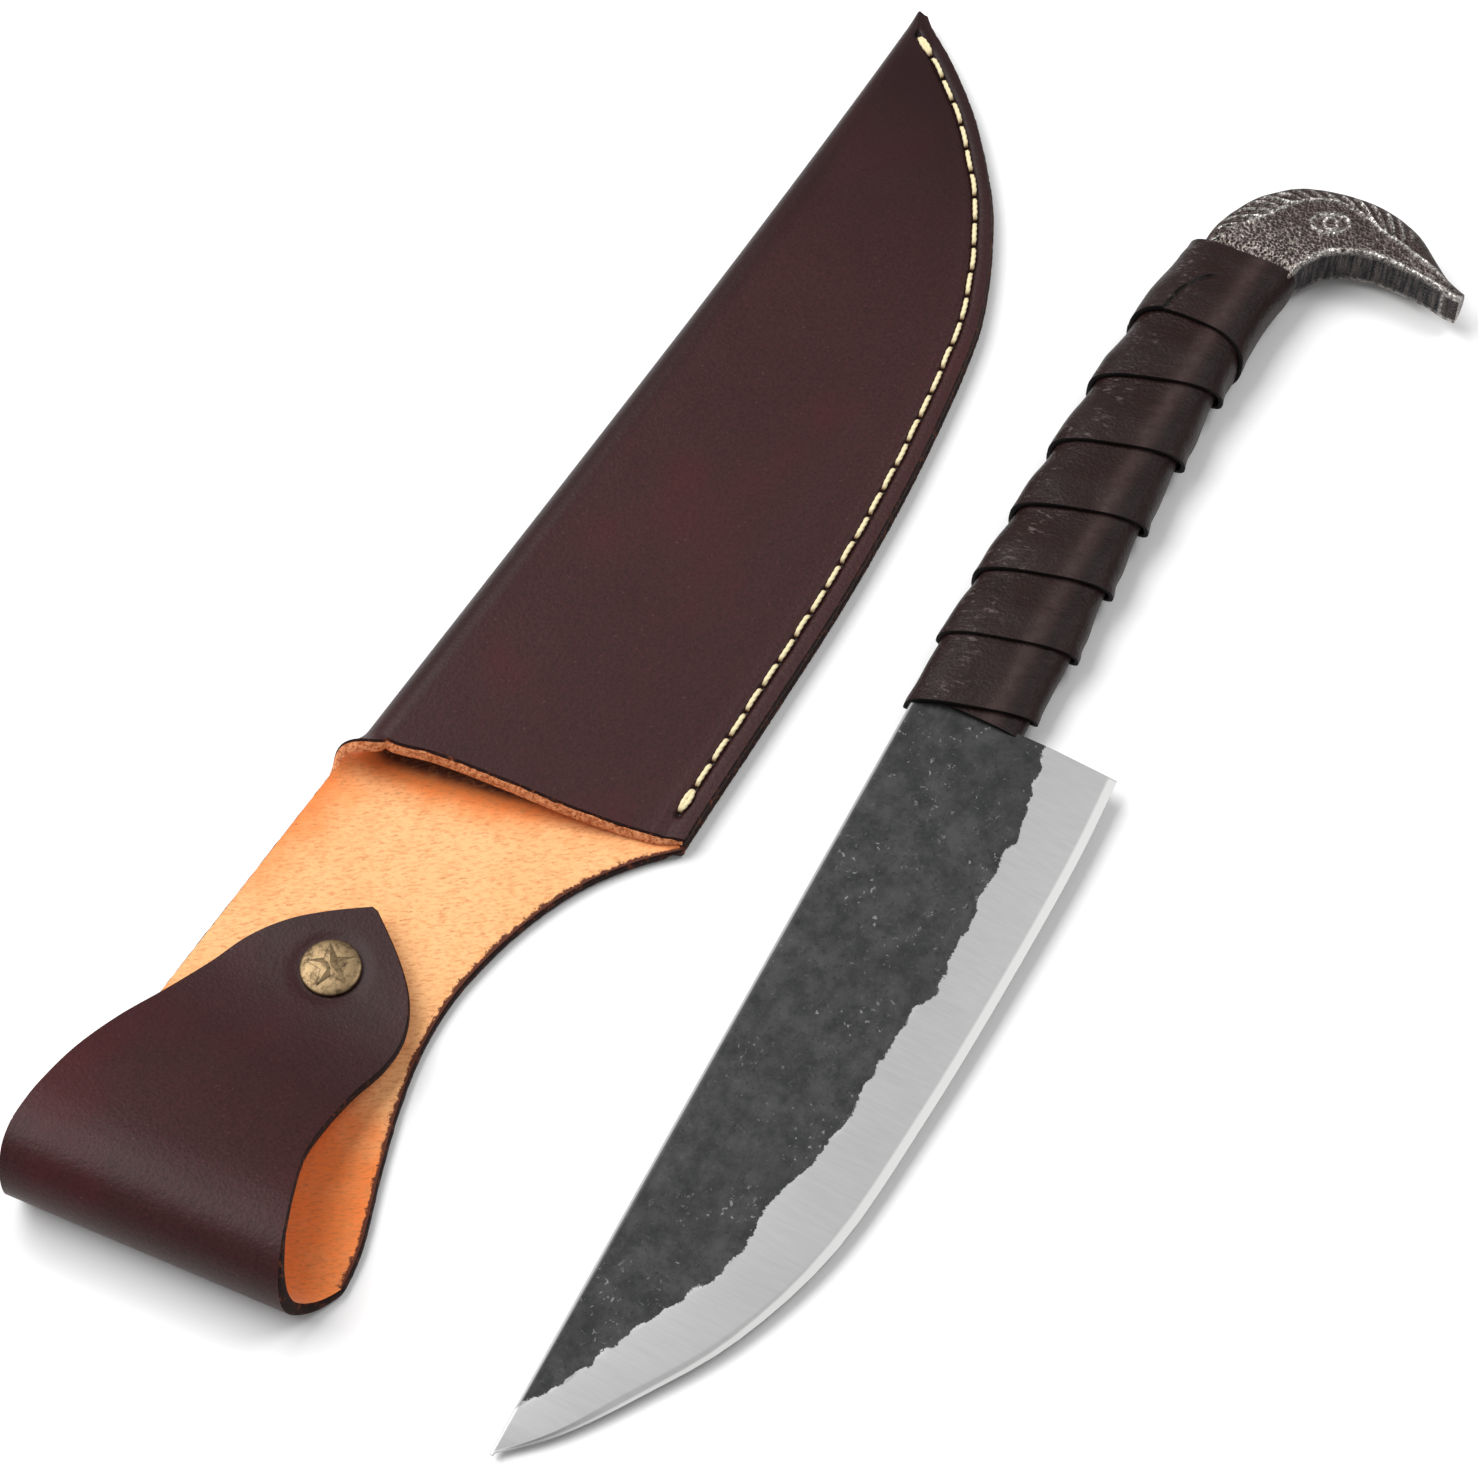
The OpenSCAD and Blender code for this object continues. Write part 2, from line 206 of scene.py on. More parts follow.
def mark(ob, name, values):
    """A number at each vertex, or one for all of them, which the materials read."""
    a = ob.data.attributes.new(name, "FLOAT", "POINT")
    a.data.foreach_set("value", np.full(len(ob.data.vertices), values, np.float32))


def points_of(ob):
    co = np.zeros(len(ob.data.vertices) * 3)
    ob.data.vertices.foreach_get("co", co)
    return co.reshape(-1, 3) / MM


def shade_edges(ob, smooth):
    """Smooth shading across the edges for which smooth(edge) holds, and a crease at the rest."""
    bm = bmesh.new()
    bm.from_mesh(ob.data)
    for e in bm.edges:
        e.smooth = smooth(e)
    bm.to_mesh(ob.data)
    bm.free()


def sharpen(ob, angle):
    """Creases the shading where faces meet at more than the angle."""
    limit = math.radians(angle)
    shade_edges(ob, lambda e: len(e.link_faces) == 2 and e.calc_face_angle(0) < limit)


def weld(patches):
    """Joins patches of (outer, inner) grids that share outer points."""
    outer = np.concatenate([o.reshape(-1, 3) for o, _ in patches])
    inner = np.concatenate([i.reshape(-1, 3) for _, i in patches])
    quads, start = [], 0
    for o, _ in patches:
        n, m = o.shape[:2]
        quads.append(grid_faces(start + np.arange(n * m).reshape(n, m)))
        start += n * m
    keys = np.round(outer * 500 + 0.37).astype(np.int64)
    _, first, back = np.unique(keys, axis=0, return_index=True, return_inverse=True)
    return outer[first], inner[first], back.reshape(-1)[np.concatenate(quads)]


def rim_directions(outer, inner, faces, rim):
    """Which way each rim vertex faces out of the sheet, smoothed along the rim."""
    out_dir = {}
    for (a, b), f in rim:
        centre = outer[list(faces[f])].mean(0)
        along = unit(outer[b] - outer[a])
        normal = unit(outer[a] - inner[a])
        away = (outer[a] + outer[b]) / 2 - centre
        away -= along * (away @ along)
        away -= normal * (away @ normal)
        for v in (a, b):
            out_dir.setdefault(v, []).append(unit(away))
    out_dir = {v: np.mean(dirs, axis=0) for v, dirs in out_dir.items()}
    for _ in range(3):
        near = dict(out_dir)
        for (a, b), _ in rim:
            near[a] = near[a] + out_dir[b]
            near[b] = near[b] + out_dir[a]
        out_dir = {v: unit(d) for v, d in near.items()}
    return out_dir


def sheet(name, patches, materials, joined=None, bulge=0.3, rows=5, fray=0.0, raw=None):
    """A closed sheet of leather. materials are those of the outer face, the inner face, the cut
    edge and the raw edge. joined says which boundary points meet another piece and stay square,
    and raw says how ragged an undyed edge is, or 0 where the edge is dyed."""
    outer, inner, quads = weld(patches)
    faces = clean_faces(quads)
    count = {}
    for f, poly in enumerate(faces):
        for k in range(len(poly)):
            a, b = poly[k - 1], poly[k]
            count.setdefault((min(a, b), max(a, b)), []).append(f)
    rim = [(e, fs[0]) for e, fs in count.items() if len(fs) == 1]
    out_dir = rim_directions(outer, inner, faces, rim)
    base = len(outer)
    points = [outer, inner]
    start = 2 * base
    row_of = {}
    extra = []
    for v, d in out_dir.items():
        swell = 0 if joined is not None and joined(outer[v]) else bulge
        row_of[v] = [v] + [start + len(extra) + k for k in range(rows - 1)] + [base + v]
        for k in range(1, rows):
            t = k / rows
            rough = fray * noise.noise(Vector(outer[v] * 1.3 + k * 2.1)) if swell else 0
            if raw is not None and raw(outer[v]) and outer[v][2] > RAW_ABOVE:
                rough = ROPE * raw(outer[v]) * (noise.noise(Vector(outer[v] * 0.9 + k * 0.7)) + 0.1)
            extra.append(outer[v] * (1 - t) + inner[v] * t
                         + d * (swell * (1 - (2 * t - 1) ** 4) + rough))
    points.append(np.array(extra).reshape(-1, 3))
    all_faces = list(faces) + [tuple(base + v for v in reversed(f)) for f in faces]
    slots = [0] * len(faces) + [1] * len(faces)
    for (a, b), _ in rim:
        undyed = raw is not None and raw(outer[a]) and raw(outer[b])
        for k in range(rows):
            all_faces.append((row_of[a][k], row_of[b][k], row_of[b][k + 1], row_of[a][k + 1]))
            slots.append(3 if undyed and k > 0 else 2)
    ob = mesh_object(name, np.concatenate(points), all_faces, materials, slots)
    shade_edges(ob, lambda e: len({f.material_index for f in e.link_faces}) == 1)
    return ob


def tube(rings):
    """Points and faces of a closed tube through rings of equal length."""
    rings = np.asarray(rings, float)
    n, m = rings.shape[:2]
    index = np.arange(n * m).reshape(n, m)
    wrapped = np.concatenate([index, index[:, :1]], 1)
    faces = [tuple(f) for f in grid_faces(wrapped).tolist()]
    faces += [tuple(index[0].tolist()), tuple(reversed(index[-1].tolist()))]
    return rings.reshape(-1, 3), faces


def joined_up(parts):
    """Several (points, faces) as one."""
    points, faces, start = [], [], 0
    for p, f in parts:
        points.append(p)
        faces += [tuple(start + v for v in g) for g in f]
        start += len(p)
    return np.concatenate(points), faces


# ---- Materials ----

class Nodes:
    """A Principled material that is built up from short calls."""

    def __init__(self, name, roughness=0.5, metallic=0.0, **sockets):
        self.material = bpy.data.materials.new(name)
        self.material.use_nodes = True
        self.tree = self.material.node_tree
        self.shader = self.tree.nodes["Principled BSDF"]
        self.shader.inputs["Roughness"].default_value = roughness
        self.shader.inputs["Metallic"].default_value = metallic
        for key, value in sockets.items():
            self.shader.inputs[key.replace("_", " ")].default_value = value
        self.place = self.tree.nodes.new("ShaderNodeTexCoord").outputs["Object"]

    def _put(self, socket, value):
        if isinstance(value, bpy.types.NodeSocket):
            self.tree.links.new(value, socket)
        else:
            socket.default_value = value

    def _node(self, kind, inputs, output=0, **settings):
        """One output of a new node, whose inputs are given by name or number."""
        n = self.tree.nodes.new(kind)
        for key, value in settings.items():
            setattr(n, key, value)
        for key, value in inputs.items():
            self._put(n.inputs[key], value)
        return n.outputs[output]

    def stretched(self, x=1.0, y=1.0, z=1.0, turn=0.0):
        """The object's coordinates, turned about Z and then multiplied along each axis."""
        turned = self._node("ShaderNodeVectorRotate", {"Vector": self.place, "Angle": turn},
                            rotation_type="Z_AXIS")
        return self._node("ShaderNodeVectorMath", {0: turned, 1: (x, y, z)},
                          operation="MULTIPLY")

    def noise(self, size_mm, detail=3.0, rough=0.55, at=None, distort=0.0):
        inputs = {"Vector": self.place if at is None else at, "Scale": 1 / (size_mm * MM),
                  "Detail": detail, "Roughness": rough, "Distortion": distort}
        return self._node("ShaderNodeTexNoise", inputs, "Fac")

    def cells(self, size_mm):
        inputs = {"Vector": self.place, "Scale": 1 / (size_mm * MM)}
        return self._node("ShaderNodeTexVoronoi", inputs, "Distance")

    def attribute(self, name):
        return self._node("ShaderNodeAttribute", {}, "Fac", attribute_name=name)

    def math(self, operation, a, b):
        return self._node("ShaderNodeMath", {0: a, 1: b}, operation=operation)

    def plus(self, a, b):
        return self.math("ADD", a, b)

    def minus(self, a, b):
        return self.math("SUBTRACT", a, b)

    def times(self, a, b):
        return self.math("MULTIPLY", a, b)

    def swing(self, value, gain):
        """A noise's swing about its middle, times the gain."""
        return self.times(self.minus(value, 0.5), gain)

    def step(self, value, low, high, start=0.0, end=1.0):
        """start below low, end above high, and smooth between."""
        inputs = {"Value": value, "From Min": low, "From Max": high, "To Min": start,
                  "To Max": end}
        return self._node("ShaderNodeMapRange", inputs, interpolation_type="SMOOTHSTEP")

    def mix(self, share, a, b):
        """From colour a (share 0) to colour b (share 1)."""
        a, b = [c if isinstance(c, bpy.types.NodeSocket) else (*c, 1) for c in (a, b)]
        return self._node("ShaderNodeMix", {"Factor": share, 6: a, 7: b}, 2, data_type="RGBA")

    def paint(self, share, *screen):
        """Lays a colour, given as 0-255 screen values, over the material's colour."""
        self.color = self.mix(share, self.color, srgb(*screen))

    def bump(self, height, depth_mm, strength, after=None):
        inputs = {"Strength": strength, "Distance": depth_mm * MM, "Height": height}
        if after is not None:
            inputs["Normal"] = after
        return self._node("ShaderNodeBump", inputs, "Normal")

    def finish(self, **sockets):
        """The material, with its colour and any other socket linked."""
        for key, value in {"Base_Color": self.color, **sockets}.items():
            self._put(self.shader.inputs[key.replace("_", " ")], value)
        return self.material


def srgb(r, g, b):
    """A colour given as 0-255 screen values, as the linear values that the shader takes."""
    return tuple((v / 255 / 12.92) if v <= 10 else ((v / 255 + 0.055) / 1.055) ** 2.4
                 for v in (r, g, b))


def grain_leather():
    """Waxed oxblood-brown grain side of the sheath."""
    n = Nodes("grain_leather", roughness=0.42, Specular_IOR_Level=0.18)
    cloud = n.noise(38, 4, 0.6)
    n.color = n.mix(cloud, srgb(50, 24, 24), srgb(63, 31, 30))
    pore = n.noise(0.7, 4, 0.8)
    n.paint(n.step(pore, 0.35, 0.6, 0.55, 0.0), 28, 10, 11)
    red = n.step(n.noise(55, 3, 0.6, at=n.stretched(1, 1.5, 1)), 0.5, 0.72)
    n.paint(n.times(red, 0.4), 74, 21, 27)
    speck = n.step(n.noise(0.8, 2, 0.5), 0.68, 0.76)
    n.paint(n.times(speck, 0.3), 104, 72, 70)
    # Painted shade along the folded spine and on the flap, and darker towards the sheath's tip.
    n.paint(n.attribute("shade"), 34, 15, 17)
    # Painted shade in the stitch holes.
    n.paint(n.attribute("hole"), 14, 8, 8)
    pores = n.cells(0.75)
    fine = n.noise(0.35, 3, 0.6)
    creases = n.noise(3.2, 5, 0.62, distort=0.6)
    height = n.plus(n.times(pores, 0.5), n.times(fine, 0.6))
    normal = n.bump(height, 0.09, 0.75)
    normal = n.bump(creases, 0.14, 0.45, after=normal)
    rough = n.plus(n.times(n.noise(14, 4, 0.6), 0.16), 0.34)
    return n.finish(Roughness=rough, Normal=normal)


def flesh_leather():
    """Raw tan flesh side, with fibres and pores, stains along the edges, and painted shade towards
    the mouth, inside the pocket and in the loop.
    """
    n = Nodes("flesh_leather", roughness=0.9, Specular_IOR_Level=0.15, Sheen_Weight=0.25,
              Sheen_Roughness=0.6)
    cloud = n.noise(22, 4, 0.6)
    n.color = n.mix(cloud, srgb(232, 172, 114), srgb(246, 190, 132))
    # The attribute holds real stains along the edges and painted shade under the mouth's edge,
    # inside the pocket and in the loop under the flap.
    stain_and_shade = n.attribute("stain_and_shade")
    blotch = n.noise(6, 5, 0.7)
    stain_and_shade_share = n.step(n.plus(stain_and_shade, n.swing(blotch, 0.7)), 0.15, 0.95)
    n.paint(stain_and_shade_share, 236, 128, 60)
    # Painted deep shade inside the pocket and right under the mouth's edge.
    dark = n.step(n.plus(stain_and_shade, n.swing(blotch, 0.4)), 0.95, 1.6)
    n.paint(dark, 96, 42, 20)
    fibre = n.noise(0.5, 4, 0.7, at=n.stretched(0.3, 1, 1, turn=0.9))
    n.paint(n.step(fibre, 0.46, 0.68, 0.0, 0.62), 190, 116, 64)
    tawny = n.step(n.noise(3.4, 5, 0.75), 0.5, 0.68)
    n.paint(n.times(tawny, 0.3), 204, 134, 80)
    dots = n.step(n.noise(0.5, 3, 0.7, at=n.stretched(0.4, 1, 1, turn=0.9)), 0.57, 0.7)
    n.paint(n.times(dots, 0.4), 146, 82, 46)
    jag = n.swing(n.noise(1.3, 5, 0.8), 1.5)
    fringe = n.step(n.plus(n.attribute("fringe"), jag), 0.4, 0.62)
    n.paint(fringe, 86, 40, 22)
    normal = n.bump(fibre, 0.12, 0.6)
    normal = n.bump(n.noise(5, 4, 0.6), 0.25, 0.3, after=normal)
    return n.finish(Normal=normal)


def edge_leather():
    """Dyed, burnished cut edge."""
    n = Nodes("edge_leather", roughness=0.7, Specular_IOR_Level=0.12)
    worn = n.step(n.noise(1.6, 4, 0.7), 0.52, 0.7)
    n.color = n.mix(worn, srgb(30, 12, 9), srgb(96, 48, 28))
    normal = n.bump(n.noise(0.7, 4, 0.65), 0.12, 0.8)
    return n.finish(Normal=normal)


def raw_edge_leather():
    """Undyed cut edge at the pocket's mouth."""
    n = Nodes("raw_edge_leather", roughness=0.85, Specular_IOR_Level=0.2)
    fibre = n.noise(0.8, 4, 0.7)
    n.color = n.mix(n.step(fibre, 0.35, 0.65), srgb(166, 86, 44), srgb(236, 160, 112))
    return n.finish(Normal=n.bump(fibre, 0.3, 0.9))


def grip_leather():
    """Very dark brown satin leather of the wrapped grip, with painted sheen, highlights and shade.
    """
    n = Nodes("grip_leather", roughness=0.34, Specular_IOR_Level=0.17)
    n.color = n.mix(n.noise(18, 4, 0.6), srgb(27, 12, 12), srgb(38, 20, 19))
    # Painted sheen band where the grip's top turns down towards the throat side.
    band = n.step(n.noise(2.2, 4, 0.7), 0.25, 0.75, 0.45, 1.0)
    n.paint(n.times(n.attribute("painted_sheen"), band), 84, 68, 64)
    # Painted dark reflection band on the shoulder beyond the sheen band.
    n.paint(n.attribute("turned"), 12, 6, 6)
    # Scuffs on the spine side, with painted highlights along the crease lines there.
    lines = n.noise(0.7, 3, 0.6, at=n.stretched(1, 0.28, 1, turn=-0.3), distort=0.7)
    scuff_and_highlight = n.times(n.step(n.noise(6, 4, 0.7), 0.42, 0.6), n.step(lines, 0.55, 0.66))
    n.paint(n.times(scuff_and_highlight, n.attribute("scuff_and_highlight")), 104, 90, 90)
    # Painted shade in the groove along the strip's cut end.
    n.paint(n.attribute("hole"), 8, 4, 4)
    pores = n.cells(0.7)
    creases = n.noise(1.8, 5, 0.7, at=n.stretched(1, 0.3, 1, turn=-0.35), distort=0.5)
    # Painted shade in the creases.
    crease_shade = n.step(creases, 0.3, 0.5, 0.4, 0.0)
    n.paint(crease_shade, 14, 7, 7)
    normal = n.bump(n.plus(pores, n.noise(0.35, 3, 0.7)), 0.1, 0.7)
    normal = n.bump(creases, 0.3, 0.6, after=normal)
    rough = n.plus(n.times(n.noise(6, 4, 0.6), 0.2), 0.3)
    return n.finish(Roughness=rough, Normal=normal)


def dark_edge():
    n = Nodes("grip_cut_edge", roughness=0.7, Specular_IOR_Level=0.2)
    n.color = n.mix(n.step(n.noise(0.9, 3, 0.6), 0.62, 0.75), srgb(14, 10, 10), srgb(60, 44, 36))
    return n.finish(Normal=n.bump(n.noise(0.6, 3, 0.6), 0.1, 0.6))


def waxed_thread():
    n = Nodes("waxed_thread", roughness=0.6, Specular_IOR_Level=0.3)
    fibre = n.noise(0.35, 3, 0.6)
    n.color = n.mix(fibre, srgb(206, 188, 138), srgb(246, 234, 196))
    n.paint(n.attribute("hole"), 120, 84, 56)
    return n.finish(Normal=n.bump(fibre, 0.06, 0.6))


def old_brass():
    n = Nodes("old_brass", roughness=0.42, metallic=0.9)
    patina = n.noise(1.6, 5, 0.7)
    n.color = n.mix(n.step(patina, 0.42, 0.68), srgb(132, 111, 82), srgb(74, 60, 42))
    rough = n.plus(n.times(patina, 0.3), 0.28)
    normal = n.bump(n.noise(0.5, 3, 0.6), 0.02, 0.5)
    return n.finish(Roughness=rough, Normal=normal)


def blade_steel():
    """Dark forge scale above, satin ground bevel below, and a bright edge."""
    n = Nodes("blade_steel", roughness=0.5, metallic=1.0)
    wide = n.swing(n.noise(6, 5, 0.75), 3.0)
    fine = n.swing(n.noise(1.1, 4, 0.8), 1.6)
    border = n.plus(n.attribute("ground"), n.plus(wide, fine))
    ground = n.step(border, -0.12, 0.12)
    mottle = n.noise(5, 6, 0.75)
    scale = n.mix(n.step(mottle, 0.3, 0.7), srgb(23, 24, 25), srgb(60, 60, 60))
    scale = n.mix(n.step(n.noise(16, 4, 0.6), 0.46, 0.66, 0.0, 0.35), scale, srgb(20, 20, 21))
    here = n.step(n.noise(9, 4, 0.7), 0.47, 0.6, 0.12, 1.0)
    fleck = n.step(n.noise(1.1, 2, 0.6, distort=0.6), 0.63, 0.7)
    scale = n.mix(n.times(n.times(fleck, here), 0.55), scale, srgb(150, 150, 150))
    scale = n.mix(n.step(n.noise(0.9, 2, 0.5), 0.3, 0.36, 0.6, 0.0), scale, srgb(12, 12, 12))
    brush = n.noise(0.7, 4, 0.6, at=n.stretched(1, 0.05, 1, turn=-KNIFE_TURN))
    satin = n.mix(brush, srgb(155, 155, 155), srgb(170, 170, 170))
    n.color = n.mix(ground, scale, satin)
    bright = n.attribute("bright")
    n.paint(bright, 198, 198, 197)
    rough = n.mix(ground, (0.62,) * 3, (0.5,) * 3)
    rough = n.mix(bright, rough, (0.55,) * 3)
    metal = n.mix(ground, (0.35,) * 3, (1.0,) * 3)
    pits = n.times(n.minus(1.0, ground), n.noise(1.4, 6, 0.75))
    normal = n.bump(pits, 0.12, 0.6)
    normal = n.bump(n.times(ground, brush), 0.008, 0.5, after=normal)
    return n.finish(Roughness=rough, Normal=normal, Metallic=metal)


def pewter_steel():
    """Dark pitted oxide with the raised lines worn bright."""
    n = Nodes("pewter_steel", roughness=0.45, metallic=0.85)
    pit = n.noise(0.9, 5, 0.8)
    cloud = n.noise(7, 4, 0.6)
    n.color = n.mix(cloud, srgb(54, 44, 42), srgb(76, 65, 63))
    speckle = n.cells(0.62)
    n.paint(n.step(pit, 0.36, 0.46, 0.7, 0.0), 22, 17, 17)
    n.paint(n.step(speckle, 0.12, 0.4, 0.5, 0.0), 26, 20, 20)
    net = n.times(n.step(speckle, 0.42, 0.62), n.step(pit, 0.4, 0.6, 0.25, 1.0))
    n.paint(n.times(net, n.attribute("net")), 196, 186, 178)
    streak = n.noise(0.8, 5, 0.75, at=n.stretched(1, 1, 0.08))
    wall = n.mix(n.step(streak, 0.4, 0.7), srgb(24, 25, 29), srgb(96, 88, 84))
    n.color = n.mix(n.attribute("wall"), n.color, wall)
    worn = n.times(n.attribute("worn"), n.step(pit, 0.4, 0.6, 0.05, 1.0))
    n.paint(worn, 232, 228, 222)
    normal = n.bump(speckle, 0.3, 0.9)
    return n.finish(Roughness=n.step(pit, 0.3, 0.7, 0.6, 0.34), Normal=normal)


GRAIN = grain_leather()
FLESH = flesh_leather()
EDGE = edge_leather()
RAW_EDGE = raw_edge_leather()
GRIP = grip_leather()
GRIP_EDGE = dark_edge()
THREAD = waxed_thread()
BRASS = old_brass()
STEEL = blade_steel()
PEWTER = pewter_steel()

# ---- Sheath ----

LEATHER = 2.4
MOUTH_X = 2.6
MOUTH_HEIGHT = 11.5
MOUTH_SLANT = 12.0
SEAM_MARGIN = 8.0
LAYER_GAP = 0.06
ROPE = 0.34
RAW_ABOVE = 4
SHEATH_LEATHERS = [GRAIN, FLESH, EDGE, RAW_EDGE]
# The mouth's cut edge: [across the sheath, along it]
MOUTH_EDGE = smooth_line([[-66, 15.2], [-63.8, 14.8], [-58.9, 13.2], [-51, 10.9], [-42.8, 8.7],
                          [-32, 6.6], [-20.6, 4.3], [-15, 2.9], [-11.5, 1.6], [-9, 0.75],
                          [-7.4, 0.48], [-6.6, 0.45], [-2, 0.45], [5, 0.45]])
# How far the mouth's cut edge slopes back, and how far in the slope fades out
BEVELLED = 1.3
BEVEL_RUN = 4

POCKET_SHAPE = [[1, -0.02], [0.984, 0.035], [0.957, 0.169], [0.909, 0.353], [0.847, 0.527],
                [0.801, 0.625], [0.736, 0.731], [0.667, 0.806], [0.52, 0.894],
                [0.373, 0.947], [0.226, 0.973], [0.083, 0.992], [0.067, 1]]
STRAP_EDGE = [[13.6, -63.6], [7.8, -58.4], [-0.7, -52.8], [-10.2, -48.8], [-21.4, -46],
              [-34, -44.6], [-46, -45.6], [-57.5, -48.5], [-70, -53], [-84, -58.6],
              [-92.6, -60.4]]
# The strap starts to turn up into the folded spine here, and leans beyond the second place
FLARE_FROM = -14
LEAN_FROM = -20
FOLD_MID = (-97.3, -28.5)
FOLD_LEAN = 0.1485
FOLD_ROWS = [[-90, 1.5, -60.4], [-60, 0.6, -58.8], [-30, -0.6, -57.1], [0, -1.2, -56.2],
             [30, -0.5, -55], [60, 0.8, -53.2], [90, 1.8, -51]]
LOOP_RADIUS = 10.0
FLAP_ROWS = [[-101.8, 1.8, -94, -51, 20], [-98.4, 2.1, -91, -49.6, 19.85],
             [-93.2, 2.4, -86.5, -47.5, 19], [-84, 2.2, -79, -44.4, 16.6],
             [-74, 0.6, -71, -43.2, 13.5], [-64, -2.3, -63, -43, 10.6],
             [-54.5, -5.2, -55, -44, 8.7], [-46.5, -7.6, -48, -43.3, 8],
             [-39.7, -11.8, -41.2, -39.6, 8], [-34, -17.4, -35.3, -33.2, 7.9],
             [-29.2, -23.3, -29.4, -24.5, 7.7]]
SNAP_AT = np.array([-43.8, -24.3])
SNAP_TOP = 8.0
STUD_FLANGE = 4.5

pocket_edge = smooth_line([[x * POCKET_LENGTH, -y * POCKET_WIDTH] for x, y in POCKET_SHAPE])
free_edge = np.concatenate([pocket_edge, smooth_line(STRAP_EDGE)])[::-1]


def edge_y(x):
    """The free edge's place across the sheath, at x along it."""
    return np.interp(x, free_edge[:, 0], free_edge[:, 1])


def spine_y(x):
    return -0.9 + 3.7 * np.clip(x / POCKET_LENGTH, 0, 1) ** 3


def spine_height(x):
    share = np.clip(x / POCKET_LENGTH, 0, 1) ** 2.2
    return 2 * LEATHER + 0.4 + (MOUTH_HEIGHT - 2 * LEATHER - 0.4) * (1 - share)


def fold_x(y):
    return FOLD_MID[0] - FOLD_LEAN * (y - FOLD_MID[1])


def at_fold(p):
    """Whether a row point lies on the line where the bend meets the strap or the flap."""
    x, y, _ = p - SHEATH_AT
    return abs(x - fold_x(y)) < 0.02


def strap_skew(x):
    """How far the strap's column at x leans, to meet the slanting fold."""
    return FOLD_LEAN * ease((LEAN_FROM - x) / (LEAN_FROM - FOLD_MID[0]))


def offset_line(p, d):
    """The line p moved sideways by d, to the left of its direction."""
    before, after = np.roll(p, 1, 0), np.roll(p, -1, 0)
    before[0], after[-1] = p[0], p[-1]
    t = (after - before) / np.linalg.norm(after - before, axis=1)[:, None]
    return p + d * np.stack([-t[:, 1], t[:, 0]], -1)


SEAM_INSET, SEAM_START, STITCHES, PITCH, STITCH_LENGTH = 3.7, 7.5, 32, 6.38, 5.0
THREAD_R = 0.46
# Height of each thread's middle: on the front's margin, and in the back's groove
FRONT_THREAD = 2 * LEATHER + LAYER_GAP + 0.42
BACK_THREAD = 0.6
seam_line = offset_line(pocket_edge, -SEAM_INSET)
HOLES = at_run(seam_line, SEAM_START + np.arange(-1, STITCHES) * PITCH
               + STITCH_LENGTH + (PITCH - STITCH_LENGTH) / 2)


def seam_dip(x, y):
    """How far the seam's thread pulls the leather down, and how near a stitch hole is."""
    p = np.stack([x.ravel(), y.ravel()], -1)
    gap, _ = distance_to_line(p, seam_line)
    hole = np.min(np.linalg.norm(p[:, None] - HOLES[None], axis=2), axis=1)
    dip = 0.45 * bell(gap, 1.0) + 0.75 * bell(hole, 0.6)
    return dip.reshape(x.shape), bell(hole, 0.75).reshape(x.shape)


FRONT_X = np.linspace(MOUTH_X, POCKET_LENGTH - 1.4, 420)
FLARE_X = np.linspace(FLARE_FROM, MOUTH_X, 34)[:-1]
STRAP_X = np.linspace(FOLD_MID[0], FLARE_FROM, 72)[:-1]
BACK_X = np.concatenate([STRAP_X, FLARE_X, FRONT_X])
MARGIN_ROWS, BODY_ROWS, FOLD_STEPS = 18, 64, 18


def fold_radius(x):
    wide = np.abs(edge_y(x) - spine_y(x))
    return np.minimum(spine_height(x) / 2, wide * 0.35)


def shares(wide, margin):
    """Rows from the spine side (0) to the free edge (1), close together on the seam's margin."""
    m = margin / wide
    body = np.linspace(0, 1, BODY_ROWS + 1)[:-1] * (1 - m)
    return np.concatenate([body, np.linspace(1 - m, 1, MARGIN_ROWS + 1)])


def weld_y(x):
    """Where the flat back turns up into the folded spine."""
    x = max(x, MOUTH_X)
    return float(spine_y(x) - fold_radius(x))


def back_patch():
    """Back of the pocket and the strap. The outer face is the underside."""
    outer, inner = [], []
    for xs in BACK_X:
        low = weld_y(xs)
        skew = strap_skew(xs)
        x = xs
        for _ in range(6):
            y = edge_y(x)
            x = xs - skew * (y - FOLD_MID[1])
        ys = low + (y - low) * shares(abs(y - low), min(SEAM_MARGIN, abs(y - low) / 2))
        xr = xs - skew * (ys - FOLD_MID[1])
        outer.append(xyz(xr, ys, 0))
        inner.append(xyz(xr, ys, LEATHER))
    outer, inner = np.array(outer), np.array(inner)
    gap, _ = distance_to_line(outer[..., :2].reshape(-1, 2), seam_line)
    groove = 1.15 * (1 - ease((gap - 0.55) / 0.5)).reshape(outer.shape[:2])
    from_snap = np.linalg.norm(outer[..., :2] - SNAP_AT, axis=-1)
    dish = 0.62 * (1 - ease((from_snap - STUD_FLANGE - 0.2) / 1.2))
    outer[..., 2] += np.maximum(groove, dish)
    return outer, inner


def mouth_bend(x, y, at):
    """How far the mouth's line pulls the leather along the sheath, from the column at x."""
    settle = 1 - ease((x - MOUTH_X) / 32)
    return settle * (np.interp(y, *MOUTH_EDGE.T) - at)


